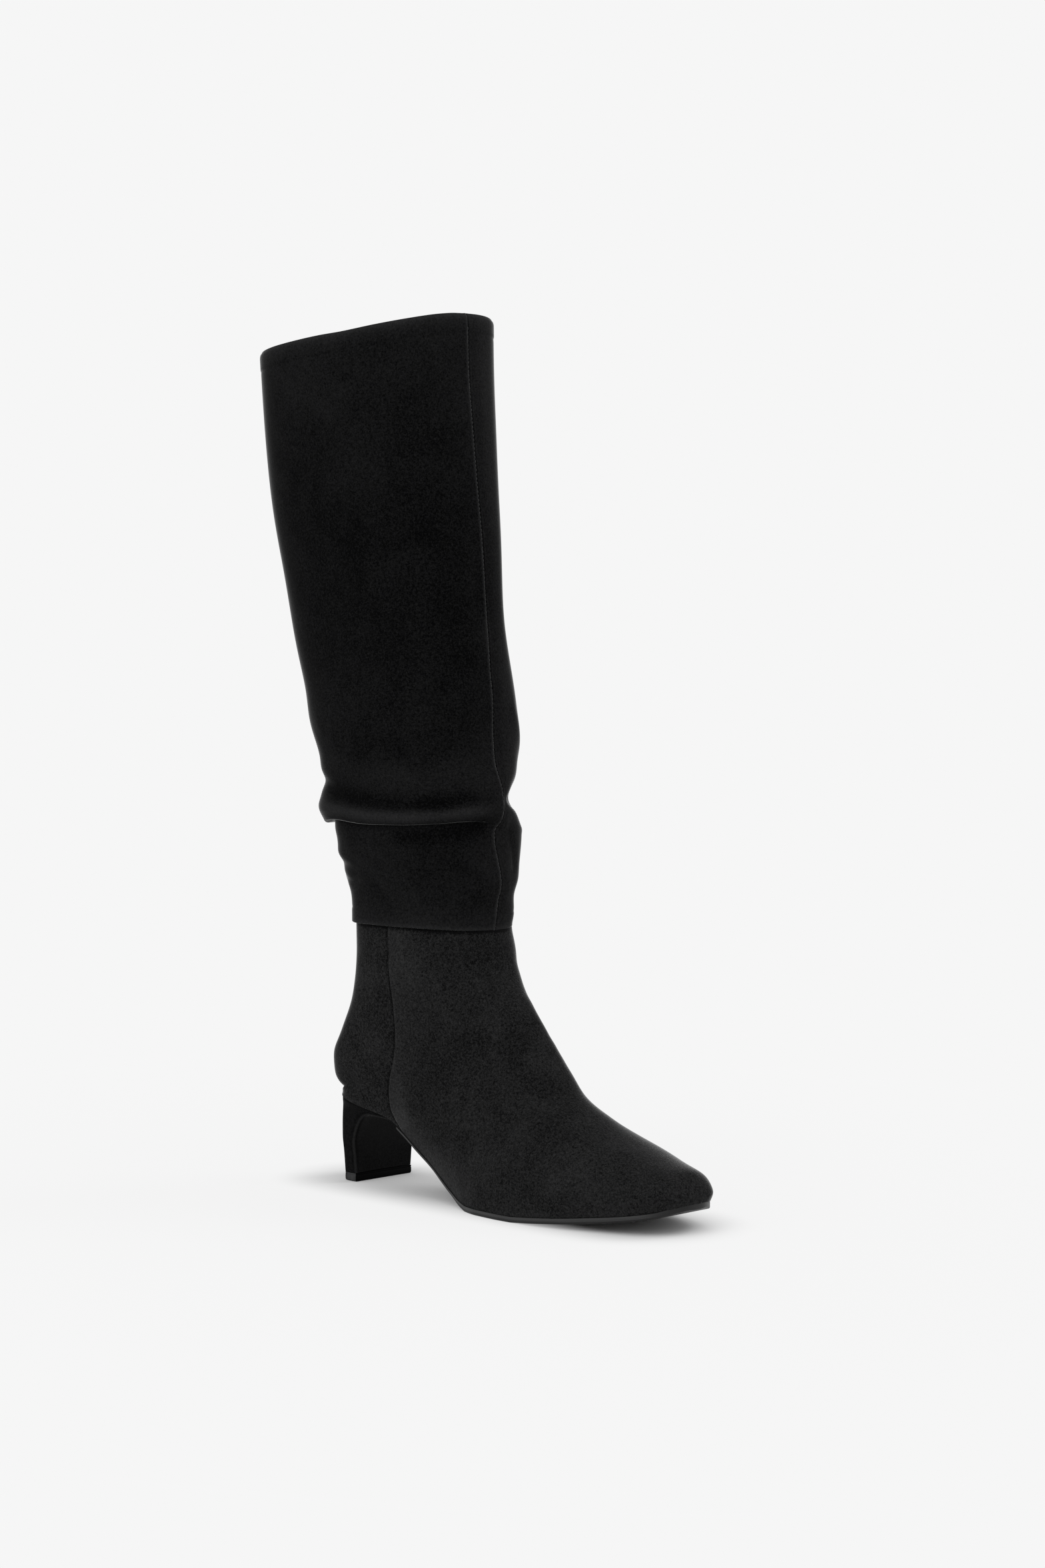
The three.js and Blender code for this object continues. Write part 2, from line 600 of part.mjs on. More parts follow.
// Shaft: a row for each ring, from the hem up. z is a share of the way from hem to collar.
// back and front are places of the ring on X, from the ankle's middle, as shares of a depth that
// goes from the hem's to the collar's above the leg's top; the half widths are shares of the half
// width there. lean tips the ring back, in degrees. Round the front the fold opens out into one soft
// swelling: there a row drops by a share of that way and its ring grows to open.
const shaftRows = [
  { z: 0.027, back: -0.5, front: 0.504, lateral: 1.005, medial: 1.005, lean: 0 },
  { z: 0.058, back: -0.514, front: 0.506, lateral: 1.012, medial: 1.012, lean: 0 },
  { z: 0.083, back: -0.532, front: 0.507, lateral: 1.077, medial: 1.077, lean: 0 },
  { z: 0.106, back: -0.53, front: 0.499, lateral: 1.144, medial: 1.144, lean: 0 },
  { z: 0.128, back: -0.541, front: 0.49, lateral: 1.198, medial: 1.198, lean: 0, drop: 0, open: 1.01 },
  { z: 0.153, back: -0.53, front: 0.477, lateral: 1.231, medial: 1.231, lean: 0, drop: 0.003, open: 1.045 },
  { z: 0.17, back: -0.531, front: 0.47, lateral: 1.205, medial: 1.235, lean: 0, drop: 0.012, open: 1.065 },
  { z: 0.181, back: -0.522, front: 0.47, lateral: 1.174, medial: 1.242, lean: 0.5, drop: 0.017, open: 1.065 },
  { z: 0.178, back: -0.563, front: 0.489, lateral: 1.267, medial: 1.252, lean: 0.5, drop: 0.008, open: 1.015 },
  { z: 0.184, back: -0.602, front: 0.515, lateral: 1.329, medial: 1.232, lean: 1, drop: 0.006, open: 0.975 },
  { z: 0.2, back: -0.649, front: 0.521, lateral: 1.353, medial: 1.198, lean: 1, drop: 0.002, open: 0.975 },
  { z: 0.213, back: -0.644, front: 0.515, lateral: 1.299, medial: 1.174, lean: 1 },
  { z: 0.229, back: -0.641, front: 0.5, lateral: 1.233, medial: 1.163, lean: 1.5 },
  { z: 0.25, back: -0.611, front: 0.468, lateral: 1.225, medial: 1.163, lean: 2 },
  { z: 0.272, back: -0.611, front: 0.436, lateral: 1.236, medial: 1.191, lean: 2 },
  { z: 0.294, back: -0.606, front: 0.421, lateral: 1.253, medial: 1.232, lean: 2.4 },
  { z: 0.326, back: -0.627, front: 0.409, lateral: 1.265, medial: 1.258, lean: 3 },
  { z: 0.357, back: -0.667, front: 0.404, lateral: 1.224, medial: 1.224, lean: 3.4 },
  { z: 0.405, back: -0.703, front: 0.389, lateral: 1.133, medial: 1.133, lean: 4 },
  { z: 0.452, back: -0.752, front: 0.373, lateral: 1.028, medial: 1.028, lean: 4.6 },
  { z: 0.5, back: -0.793, front: 0.354, lateral: 0.959, medial: 0.959, lean: 5.2 },
  { z: 0.562, back: -0.815, front: 0.333, lateral: 0.942, medial: 0.942, lean: 5.8 },
  { z: 0.625, back: -0.827, front: 0.312, lateral: 0.955, medial: 0.955, lean: 6 },
  { z: 0.72, back: -0.847, front: 0.274, lateral: 0.976, medial: 0.976, lean: 6.3 },
  { z: 0.814, back: -0.846, front: 0.24, lateral: 0.99, medial: 0.99, lean: 6.4 },
  { z: 0.91, back: -0.831, front: 0.209, lateral: 0.996, medial: 0.996, lean: 6.4 },
  { z: 1, back: -0.812, front: 0.188, lateral: 1, medial: 1, lean: 5.9 },
];
// Dents: turn and broad are angles, from the front toward the medial side, in degrees; deep is
// a share of the collar's depth.
const shaftDents = [{ z: 0.213, turn: 36, deep: 0.084, tall: 0.032, broad: 26 }];
const openTurns = { start: -26, full: 14, last: 62, end: 98 };
// The collar's edge dips on the lateral side: deep is a share of the collar's depth.
const collarDip = { turn: -68, deep: 0.015, broad: 42, fade: 6 };
const hemStraight = 4; // the hem goes straight up this far
const hemDepth = ankleDepth + 2 * (gap + shaftWall);
const hemWidth = ankleWidth + 2 * (gap + shaftWall);
const ankleMiddle = ankleX + ankleDepth / 2;

function shaftRing(row) {
  const z = mix(hemHeight, collarHeight, row.z);
  const spread = Math.max((z - legTop) / (collarHeight - legTop), 0);
  const fullDepth = mix(hemDepth, collarDepth, spread);
  const halfWidth = mix(hemWidth, collarWidth, spread) / 2;
  const centre = ankleMiddle + (fullDepth * (row.back + row.front)) / 2;
  const depth = (fullDepth * (row.front - row.back)) / 2;
  return ringAt(centre, z, depth, halfWidth * row.lateral, halfWidth * row.medial, row);
}

// Points round a ring: even turns from the back, with the raised seam's edges at the front.
const ringTurns = steps(36).slice(0, -1).map((u) => u * 2 * Math.PI - Math.PI);
const seamEdges = [
  { y: -0.8, rise: 0 },
  { y: -0.5, rise: 1 },
  { y: 0.5, rise: 1 },
  { y: 0.8, rise: 0 },
];
const ringSquareness = 2.15;

function ringAt(centre, z, depth, lateral, medial, row) {
  const lean = THREE.MathUtils.degToRad(row.lean);
  const roll = THREE.MathUtils.degToRad(collarRoll) * row.z * row.z;
  const exponent = 2 / ringSquareness;
  const point = (angle, raise) => {
    const c = Math.cos(angle);
    const s = Math.sin(angle);
    const degrees = THREE.MathUtils.radToDeg(angle);
    const opened =
      THREE.MathUtils.smoothstep(degrees, openTurns.start, openTurns.full) *
      (1 - THREE.MathUtils.smoothstep(degrees, openTurns.last, openTurns.end));
    const { drop = 0, open = 1 } = row;
    let swell = mix(1, open, opened) + raise / depth;
    for (const dent of shaftDents) {
      const up = (row.z - dent.z) / dent.tall;
      const round = (degrees - dent.turn) / dent.broad;
      swell -= ((dent.deep * collarDepth) / depth) * Math.exp(-up * up - round * round);
    }
    const half = s < 0 ? lateral : medial;
    const along = swell * depth * Math.sign(c) * Math.pow(Math.abs(c), exponent);
    const across = swell * half * Math.sign(s) * Math.pow(Math.abs(s), exponent);
    const aside = (degrees - collarDip.turn) / collarDip.broad;
    const dip = collarDip.deep * collarDepth * Math.pow(row.z, collarDip.fade) * Math.exp(-aside * aside);
    const base = z - drop * opened * (collarHeight - hemHeight) - dip;
    const up = base + along * Math.sin(lean) + across * Math.sin(roll);
    return new THREE.Vector3(centre + along * Math.cos(lean), across, up);
  };
  const seam = seamEdges.map((edge) => {
    const half = edge.y < 0 ? lateral : medial;
    const turn = Math.asin(Math.pow((Math.abs(edge.y) * seamWidth) / half, ringSquareness / 2));
    return point(Math.sign(edge.y) * turn, edge.rise * seamRise);
  });
  const before = ringTurns.filter((turn) => turn < -0.01).map((turn) => point(turn, 0));
  const after = ringTurns.filter((turn) => turn > 0.01).map((turn) => point(turn, 0));
  return [...before, ...seam, ...after];
}

// The hem follows the foot's own leg, clear of it by the gap.
function hemRing(z) {
  const row = { z: (z - hemHeight) / (collarHeight - hemHeight), lean: 0 };
  return ringAt(ankleMiddle, z, hemDepth / 2, hemWidth / 2, hemWidth / 2, row);
}
const shaftOuter = [hemRing(hemHeight), hemRing(hemHeight + hemStraight), ...shaftRows.map(shaftRing)];

// Tube with a real wall: out along one face, back along the other, closed round.
function tube(outer, thickness) {
  const directions = outward(outer.map((ring) => [...ring, ring[0]])).map((ring) => ring.slice(0, -1));
  const inner = offset(outer, directions, -thickness).reverse();
  const rings = [...outer, ...inner];
  const triangles = [];
  const count = outer[0].length;
  rings.forEach((ring, i) => {
    const next = rings[(i + 1) % rings.length];
    for (let j = 0; j < count; j += 1) {
      const k = (j + 1) % count;
      triangles.push(...quad(ring[j], ring[k], next[k], next[j]));
    }
  });
  return solidFrom(triangles);
}
const shaft = tube(shaftOuter, shaftWall);

const suede = { color: 0x151515, roughness: 0.95, metalness: 0 };
const boot = new THREE.Group();

function addPiece(name, solid, finish) {
  const mesh = new THREE.Mesh(geometryOf(solid), new THREE.MeshStandardMaterial(finish));
  mesh.name = name;
  boot.add(mesh);
}

addPiece("outsole", outsole, { color: 0x2b2b2b, roughness: 0.5, metalness: 0 });
addPiece("heel", heel, suede);
addPiece("heel_top_piece", topPiece, { color: 0x4a4a4c, roughness: 0.35, metalness: 0 });
addPiece("insole", insole, { color: 0x1c1b1a, roughness: 0.7, metalness: 0 });
addPiece("foot_upper", footUpper, suede);
addPiece("shaft", shaft, suede);

export default boot;
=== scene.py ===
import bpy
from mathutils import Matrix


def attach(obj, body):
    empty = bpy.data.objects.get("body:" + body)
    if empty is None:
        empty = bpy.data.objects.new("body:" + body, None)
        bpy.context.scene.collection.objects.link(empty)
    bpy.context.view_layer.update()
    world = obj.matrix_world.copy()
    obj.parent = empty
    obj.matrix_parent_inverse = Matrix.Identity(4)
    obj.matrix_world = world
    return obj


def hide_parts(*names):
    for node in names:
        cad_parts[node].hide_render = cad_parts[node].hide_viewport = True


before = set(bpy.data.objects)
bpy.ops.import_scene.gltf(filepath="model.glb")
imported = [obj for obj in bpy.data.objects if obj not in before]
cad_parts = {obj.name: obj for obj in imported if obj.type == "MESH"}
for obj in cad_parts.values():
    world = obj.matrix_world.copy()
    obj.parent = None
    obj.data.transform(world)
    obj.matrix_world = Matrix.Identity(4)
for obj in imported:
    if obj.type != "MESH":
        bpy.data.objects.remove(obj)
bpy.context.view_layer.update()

import math
import bmesh
import bpy
import numpy as np

# Slouch boot, knee high, on a slim covered heel: one right boot.
# Shapes are worked out in millimetres on the last's own sizes, and become metres in makePiece.
# X runs to the toe, Y to the wearer's left, Z up from the floor.
mm = 0.001

# Camera: turned about Z and tipped down, so that it sees the boot from its front lateral side
cameraView = dict(place=(1.1600, -1.0452, 0.2740), turn=45.0, tip=2.063, lens=64.87, sensor=36.0)

camera = bpy.data.objects.new("camera", bpy.data.cameras.new("camera"))
bpy.context.scene.collection.objects.link(camera)
camera.data.lens = cameraView["lens"]
camera.data.sensor_width = cameraView["sensor"]
camera.location = cameraView["place"]
camera.rotation_euler = (math.radians(90 - cameraView["tip"]), 0, math.radians(cameraView["turn"]))
bpy.context.scene.camera = camera
print("camera placed")


# Curves and grids

def through(xs, ys, x):
    # Cubic through the rows of a table, with the harmonic mean of the slopes at each row
    xs, ys = np.asarray(xs, float), np.asarray(ys, float)
    x = np.clip(x, xs[0], xs[-1])
    rise = np.diff(ys) / np.diff(xs)
    same = rise[:-1] * rise[1:] > 0
    total = np.where(same, rise[:-1] + rise[1:], 1)
    slope = np.concatenate([rise[:1], np.where(same, 2 * rise[:-1] * rise[1:] / total, 0), rise[-1:]])
    i = np.clip(np.searchsorted(xs, x, side="right") - 1, 0, len(xs) - 2)
    span = xs[i + 1] - xs[i]
    u = (x - xs[i]) / span
    a, b, c, d = ys[i], slope[i] * span, slope[i + 1] * span, ys[i + 1]
    return a + u * (b + u * (3 * (d - a) - 2 * b - c + u * (2 * (a - d) + b + c)))


def mix(a, b, u):
    return a + (b - a) * u


def smooth(a, b, x):
    # 0 before a, 1 after b, and 3u^2 - 2u^3 between
    u = np.clip((x - a) / (b - a), 0, 1)
    return u * u * (3 - 2 * u)


def closing(distance, reach, squareness):
    # Rounded end: (1 - (1 - distance / reach)^n)^(1 / n), and 1 past reach
    u = np.clip(1 - distance / reach, 0, 1)
    return np.maximum(1 - u ** squareness, 0) ** (1 / squareness)


def splineRows(rings, count, where=None):
    # Rows of a grid laid again at even steps along it: a natural cubic spline through each column,
    # with the rings' mean distance apart as its parameter
    apart = np.linalg.norm(np.diff(rings, axis=0), axis=2).mean(axis=1)
    s = np.concatenate([[0], np.cumsum(apart)])
    n = len(s)
    h = np.diff(s)
    a = np.eye(n)
    b = np.zeros((n, n))
    for i in range(1, n - 1):
        a[i, i - 1:i + 2] = h[i - 1], 2 * (h[i - 1] + h[i]), h[i]
        b[i, i - 1:i + 2] = 6 / h[i - 1], -6 / h[i - 1] - 6 / h[i], 6 / h[i]
    flat = rings.reshape(n, -1)
    bend = np.linalg.solve(a, b @ flat)
    t = s[-1] * (np.linspace(0, 1, count) if where is None else where)
    i = np.clip(np.searchsorted(s, t, side="right") - 1, 0, n - 2)
    p, q, w = (s[i + 1] - t)[:, None], (t - s[i])[:, None], h[i][:, None]
    out = (bend[i] * p ** 3 + bend[i + 1] * q ** 3) / (6 * w)
    out += (flat[i] / w - bend[i] * w / 6) * p + (flat[i + 1] / w - bend[i + 1] * w / 6) * q
    return out.reshape(count, *rings.shape[1:])


def gridNormals(grid, around=False):
    # Cross product of the steps along the columns and along the rows
    if around:
        across = np.roll(grid, -1, 1) - np.roll(grid, 1, 1)
    else:
        across = np.gradient(grid, axis=1)
    along = np.gradient(grid, axis=0)
    normals = np.cross(across, along)
    return normals / np.maximum(np.linalg.norm(normals, axis=2, keepdims=True), 1e-9)


def columnsAt(grid, at):
    # Each row read again at its own column numbers, which may lie between columns
    low = np.clip(np.floor(at).astype(int), 0, grid.shape[1] - 2)
    part = (at - low)[..., None]
    rows = np.arange(len(grid))[:, None]
    return grid[rows, low] * (1 - part) + grid[rows, low + 1] * part


def gridFaces(rows, columns, around=False, closed=False):
    # Quads between the rows and columns of a grid whose corners are numbered row by row
    i = np.arange(rows if closed else rows - 1)[:, None]
    j = np.arange(columns if around else columns - 1)[None, :]
    k = (i + 1) % rows
    m = (j + 1) % columns
    quads = np.stack([i * columns + j, i * columns + m, k * columns + m, k * columns + j], -1)
    return quads.reshape(-1, 4)


def ringFaces(grid):
    # A stack of closed rings: the quads between them, and a face over the first ring and the last
    count = grid.shape[1]
    faces = gridFaces(len(grid), count, around=True).tolist()
    faces.append(list(range(count)))
    faces.append([(len(grid) - 1) * count + j for j in range(count)][::-1])
    return faces


def makePiece(name, points, faces, material, node=None, smoothBy=60.0, weld=0.004, tone=None):
    # A mesh from arrays: corners closer than weld millimetres become one, and flat faces go.
    # tone is how much lighter or darker its material is at each corner; much of it is painted light and shade
    mesh = bpy.data.meshes.new(name)
    mesh.from_pydata(np.asarray(points) * mm, [], faces if isinstance(faces, list) else faces.tolist())
    if tone is not None:
        mesh.attributes.new("tone", "FLOAT", "POINT").data.foreach_set("value", np.ravel(tone))
    piece = bpy.data.objects.new(name, mesh)
    bpy.context.scene.collection.objects.link(piece)
    work = bmesh.new()
    work.from_mesh(mesh)
    bmesh.ops.remove_doubles(work, verts=work.verts, dist=weld * mm)
    bmesh.ops.dissolve_degenerate(work, edges=work.edges, dist=weld * mm / 4)
    bmesh.ops.recalc_face_normals(work, faces=work.faces)
    work.to_mesh(mesh)
    work.free()
    mesh.shade_smooth()
    mesh.set_sharp_from_angle(angle=math.radians(smoothBy))
    mesh.materials.append(material)
    if node:
        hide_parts(node)
    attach(piece, "root")
    print(name, "made,", len(mesh.polygons), "faces")


# Materials

def newGroup(name, inputs, outputs):
    group = bpy.data.node_groups.new(name, "ShaderNodeTree")
    for label, value in inputs.items():
        socket = group.interface.new_socket(label, in_out="INPUT", socket_type="NodeSocketFloat")
        socket.default_value = value
    for label in outputs:
        group.interface.new_socket(label, in_out="OUTPUT", socket_type="NodeSocketFloat")
    return group, group.nodes.new("NodeGroupInput"), group.nodes.new("NodeGroupOutput")


def addNode(tree, kind, settings=None, links=None):
    # A node with its settings, by attribute name or input name, and its inputs' links
    node = tree.nodes.new(kind)
    for key, value in (settings or {}).items():
        if isinstance(key, str) and hasattr(node, key):
            setattr(node, key, value)
        else:
            node.inputs[key].default_value = value
    for key, source in (links or {}).items():
        tree.links.new(source, node.inputs[key])
    return node


def calc(tree, operation, a, b=None, c=None):
    # One Math node: each of a, b and c is a number or another node's socket
    node = tree.nodes.new("ShaderNodeMath")
    node.operation = operation
    for k, value in enumerate((a, b, c)):
        if value is None:
            continue
        if isinstance(value, (int, float)):
            node.inputs[k].default_value = value
        else:
            tree.links.new(value, node.inputs[k])
    return node.outputs[0]


def napGroup():
    # Suede nap. Shade is clouds of brushed nap, streaks along the boot and fine speckle, about 0.5;
    # Height is the fibres' tufts. Sizes are cells to the metre.
    group, given, out = newGroup(
        "suedeNap",
        dict(Clouds=45.0, Speckle=900.0, CloudDepth=0.5, SpeckleDepth=0.5, Lean=0.0),
        ["Shade", "Height"])
    place = addNode(group, "ShaderNodeTexCoord").outputs["Object"]
    clouds = addNode(group, "ShaderNodeTexNoise", dict(Detail=4.0, Roughness=0.55, Distortion=0.6),
                     dict(Vector=place, Scale=given.outputs["Clouds"]))
    stretch = addNode(group, "ShaderNodeMapping", dict(Scale=(1.0, 1.0, 0.4), Rotation=(0.7, 0.5, 0.0)),
                      dict(Vector=place))
    streakScale = calc(group, "MULTIPLY", given.outputs["Clouds"], 3.4)
    streaks = addNode(group, "ShaderNodeTexNoise", dict(Detail=3.0, Roughness=0.6, Distortion=0.3),
                      dict(Vector=stretch.outputs[0], Scale=streakScale))
    speckle = addNode(group, "ShaderNodeTexNoise", dict(Detail=3.0, Roughness=0.72),
                      dict(Vector=place, Scale=given.outputs["Speckle"]))
    coarse = calc(group, "MULTIPLY", given.outputs["Speckle"], 0.55)
    tufts = addNode(group, "ShaderNodeTexNoise", dict(Detail=2.0, Roughness=0.6),
                    dict(Vector=place, Scale=coarse))
    soft = calc(group, "ADD", calc(group, "MULTIPLY", clouds.outputs[0], 0.74),
                calc(group, "MULTIPLY", streaks.outputs[0], 0.26))
    soft = calc(group, "MULTIPLY", calc(group, "SUBTRACT", soft, 0.5), given.outputs["CloudDepth"])
    fine = calc(group, "ADD", calc(group, "MULTIPLY", speckle.outputs[0], 0.6),
                calc(group, "MULTIPLY", tufts.outputs[0], 0.4))
    grain = calc(group, "MULTIPLY", calc(group, "SUBTRACT", fine, 0.5), given.outputs["SpeckleDepth"])
    shade = calc(group, "ADD", calc(group, "ADD", calc(group, "MULTIPLY", soft, 4.0),
                                    calc(group, "MULTIPLY", grain, 4.0)), 0.5)
    shade = calc(group, "ADD", shade, given.outputs["Lean"])
    group.links.new(shade, out.inputs["Shade"])
    group.links.new(fine, out.inputs["Height"])
    return group


nap = napGroup()


def startMaterial(name, settings):
    material = bpy.data.materials.new(name)
    material.use_nodes = True
    tree = material.node_tree
    shader = tree.nodes["Principled BSDF"]
    for key, value in settings.items():
        shader.inputs[key].default_value = value
    return material, tree, shader


def ramp(tree, value, dark, light, low=0.0, high=1.0):
    # Colour from dark to light as value goes from low to high, and on past light above high
    node = tree.nodes.new("ShaderNodeMapRange")
    node.clamp = False
    node.inputs["From Min"].default_value = low
    node.inputs["From Max"].default_value = high
    tree.links.new(calc(tree, "MAXIMUM", value, low), node.inputs["Value"])
    blend = tree.nodes.new("ShaderNodeMix")
    blend.data_type = "RGBA"
    blend.clamp_factor = False
    blend.inputs[6].default_value = (*dark, 1)
    blend.inputs[7].default_value = (*light, 1)
    tree.links.new(node.outputs[0], blend.inputs[0])
    return blend.outputs[2]


def suede(name, look):
    # Near black suede: the nap's shade moves the colour, and its tufts the fine relief
    material, tree, shader = startMaterial(name, {
        "Roughness": look["rough"], "Specular IOR Level": look["gloss"], "Sheen Weight": look["sheen"],
        "Sheen Roughness": look["sheenRough"], "Sheen Tint": (*look["sheenTint"], 1)})
    field = tree.nodes.new("ShaderNodeGroup")
    field.node_tree = nap
    for key in ("Clouds", "Speckle", "CloudDepth", "SpeckleDepth", "Lean"):
        field.inputs[key].default_value = look[key]
    # The tone attribute adds each piece's tone, much of it painted light and shade, to the nap's shade
    tone = addNode(tree, "ShaderNodeAttribute", dict(attribute_name="tone"))
    shade = calc(tree, "ADD", field.outputs["Shade"], tone.outputs["Fac"])
    color = ramp(tree, shade, look["dark"], look["light"])
    tree.links.new(color, shader.inputs["Base Color"])
    bump = addNode(tree, "ShaderNodeBump", dict(Strength=look["bump"], Distance=look["tuft"] * mm),
                   dict(Height=field.outputs["Height"]))
    tree.links.new(bump.outputs[0], shader.inputs["Normal"])
    # The nap's fibres stand out past a turning edge and shine there: the facing weight to a high power
    facing = addNode(tree, "ShaderNodeLayerWeight", dict(Blend=0.5)).outputs["Facing"]
    edge = calc(tree, "MULTIPLY", calc(tree, "POWER", facing, look["rimPower"]), look["rim"])
    fuzz = addNode(tree, "ShaderNodeBsdfDiffuse", dict(Color=(look["fuzz"],) * 3 + (1,)))
    blend = tree.nodes.new("ShaderNodeMixShader")
    tree.links.new(edge, blend.inputs[0])
    tree.links.new(shader.outputs[0], blend.inputs[1])
    tree.links.new(fuzz.outputs[0], blend.inputs[2])
    tree.links.new(blend.outputs[0], tree.nodes["Material Output"].inputs["Surface"])
    return material


shaftLook = dict(dark=(0.0006, 0.0006, 0.0007), light=(0.0068, 0.0068, 0.007), rough=0.9, gloss=0.03,
                 sheen=0.2, sheenRough=0.15, sheenTint=(1.0, 1.0, 1.0), Clouds=30.0, Speckle=1350.0,
                 CloudDepth=0.36, SpeckleDepth=1.25, Lean=0.0, bump=0.6, tuft=0.3, fuzz=0.5, rim=0.9,
                 rimPower=14.0)
vampLook = dict(shaftLook, dark=(0.0022, 0.0022, 0.0023), light=(0.0172, 0.0172, 0.0174), Clouds=34.0,
                Speckle=1400.0, SpeckleDepth=1.15, bump=0.8, tuft=0.4, sheen=0.4, rim=0.8, rimPower=10.0)
quarterLook = dict(shaftLook, dark=(0.0022, 0.0022, 0.0023), light=(0.0176, 0.0176, 0.0178), sheen=0.25)
heelLook = dict(shaftLook, dark=(0.001, 0.001, 0.0011), light=(0.0068, 0.0068, 0.0069), sheen=0.1, bump=0.35,
                SpeckleDepth=0.8, rim=0.12)

shaftSuede = suede("shaftSuede", shaftLook)
vampSuede = suede("vampSuede", vampLook)
quarterSuede = suede("quarterSuede", quarterLook)
heelSuede = suede("heelSuede", heelLook)


def grained(name, look):
    # Leather or plastic with a fine cell pattern: larger cells shade it, and the edges are relief
    material, tree, shader = startMaterial(name, {
        "Specular IOR Level": look["gloss"], "Coat Weight": look["coat"],
        "Coat Roughness": look["coatRough"]})
    place = addNode(tree, "ShaderNodeTexCoord").outputs["Object"]
    cells = addNode(tree, "ShaderNodeTexVoronoi", dict(Scale=look["cells"]), dict(Vector=place))
    cells.feature = "DISTANCE_TO_EDGE"
    cloud = addNode(tree, "ShaderNodeTexNoise", dict(Scale=look["clouds"], Detail=5.0, Roughness=0.6),
                    dict(Vector=place))
    # The tone attribute adds each piece's tone, much of it painted light and shade
    tone = addNode(tree, "ShaderNodeAttribute", dict(attribute_name="tone"))
    shade = calc(tree, "ADD", cloud.outputs[0], tone.outputs["Fac"])
    color = ramp(tree, shade, look["dark"], look["light"], 0.3, 0.7)
    tree.links.new(color, shader.inputs["Base Color"])
    roughness = addNode(tree, "ShaderNodeMapRange", {"To Min": look["rough"][0], "To Max": look["rough"][1]},
                        dict(Value=cloud.outputs[0]))
    tree.links.new(roughness.outputs[0], shader.inputs["Roughness"])
    edge = calc(tree, "MINIMUM", cells.outputs["Distance"], 0.12)
    relief = calc(tree, "ADD", edge, calc(tree, "MULTIPLY", cloud.outputs[0], 0.1))
    bump = addNode(tree, "ShaderNodeBump", dict(Strength=look["bump"], Distance=look["depth"] * mm),
                   dict(Height=relief))
    tree.links.new(bump.outputs[0], shader.inputs["Normal"])
    return material


soleLook = dict(dark=(0.003, 0.003, 0.0032), light=(0.009, 0.009, 0.0092), rough=(0.36, 0.55), gloss=0.25,
                coat=0.03, coatRough=0.3, cells=900.0, clouds=60.0, bump=0.25, depth=0.2)
topPieceLook = dict(dark=(0.0015, 0.0015, 0.0016), light=(0.036, 0.036, 0.0365), rough=(0.6, 0.75),
                    gloss=0.02, coat=0.0, coatRough=0.3, cells=1500.0, clouds=90.0, bump=0.12, depth=0.1)
liningLook = dict(dark=(0.012, 0.0115, 0.011), light=(0.024, 0.023, 0.022), rough=(0.55, 0.75), gloss=0.35,
                  coat=0.0, coatRough=0.4, cells=1100.0, clouds=35.0, bump=0.4, depth=0.25)
insoleLook = dict(liningLook, dark=(0.016, 0.015, 0.014), light=(0.03, 0.028, 0.026), cells=800.0)
threadLook = dict(dark=(0.003, 0.003, 0.003), light=(0.009, 0.009, 0.009), rough=(0.5, 0.7), gloss=0.4,
                  coat=0.0, coatRough=0.4, cells=2500.0, clouds=900.0, bump=0.3, depth=0.05)

soleLeather = grained("soleLeather", soleLook)
topPiecePlastic = grained("topPiecePlastic", topPieceLook)
liningLeather = grained("liningLeather", liningLook)
insoleLeather = grained("insoleLeather", insoleLook)
thread = grained("thread", threadLook)
print("materials made")


# The last: sizes that every piece of the foot part follows

last = dict(length=250.8, seatBack=-10.8, seatHeight=45.5, ball=84.0, seat=57.0, toe=40.0, toeSpring=13.0,
            vamp=111.0, flatBack=121.0, flatFront=159.0, soleThick=3.0, shankThick=1.4, toeReach=25.0,
            heelReach=27.0, seatSquareness=2.3, toeSquareness=2.5, toeShift=1.0, roofReach=17.0,
            roofSquareness=2.3)
tip = last["seatBack"] + last["length"]
archRows = dict(
    at=[0, 0.107, 0.219, 0.345, 0.443, 0.529, 0.62, 0.702, 0.785, 0.868, 0.934, 1],
    rise=[1.09, 1.045, 0.975, 0.915, 0.845, 0.702, 0.518, 0.367, 0.219, 0.1, 0.038, 0],
    thick=[1, 1, 1, 1, 1, 1, 1, 1, 0.95, 0.75, 0.4, 0])
springRows = dict(at=[0, 0.2, 0.45, 0.66, 0.84, 0.94, 1], rise=[0, 0.12, 0.29, 0.46, 0.68, 0.86, 1])
planRows = dict(
    at=[0, 0.16, 0.26, 0.34, 0.41, 0.47, 0.53, 0.6, 0.67, 0.74, 0.82, 0.9, 0.96, 1],
    seat=[1, 1, 1, 0.85, 0.5, 0.2, 0, 0, 0, 0, 0, 0, 0, 0],
    ball=[0, 0, 0, 0.15, 0.5, 0.8, 1, 1, 1, 0.93, 0.62, 0.28, 0.08, 0],
    lateral=[1, 1, 0.98, 0.9, 0.88, 0.93, 0.976, 1.007, 1, 0.98, 0.99, 0.99, 0.94, 0.9],
    medial=[1, 0.99, 0.95, 0.85, 0.76, 0.765, 0.81, 0.875, 0.915, 0.925, 0.98, 0.99, 0.89, 0.78])


def soleTop(x):
    # Seat, arch, flat forefoot and toe spring, along the foot
    fromBack = np.asarray(x, float) - last["seatBack"]
    arch = mix(last["soleThick"], last["seatHeight"],
               through(archRows["at"], archRows["rise"], fromBack / last["flatBack"]))
    at = (fromBack - last["flatFront"]) / (last["length"] - last["flatFront"])
    spring = last["soleThick"] + last["toeSpring"] * through(springRows["at"], springRows["rise"], at)
    return np.where(fromBack <= last["flatBack"], arch, spring)


def soleDepth(x):
    at = (np.asarray(x, float) - last["seatBack"]) / last["flatBack"]
    return mix(last["soleThick"], last["shankThick"], through(archRows["at"], archRows["thick"], at))


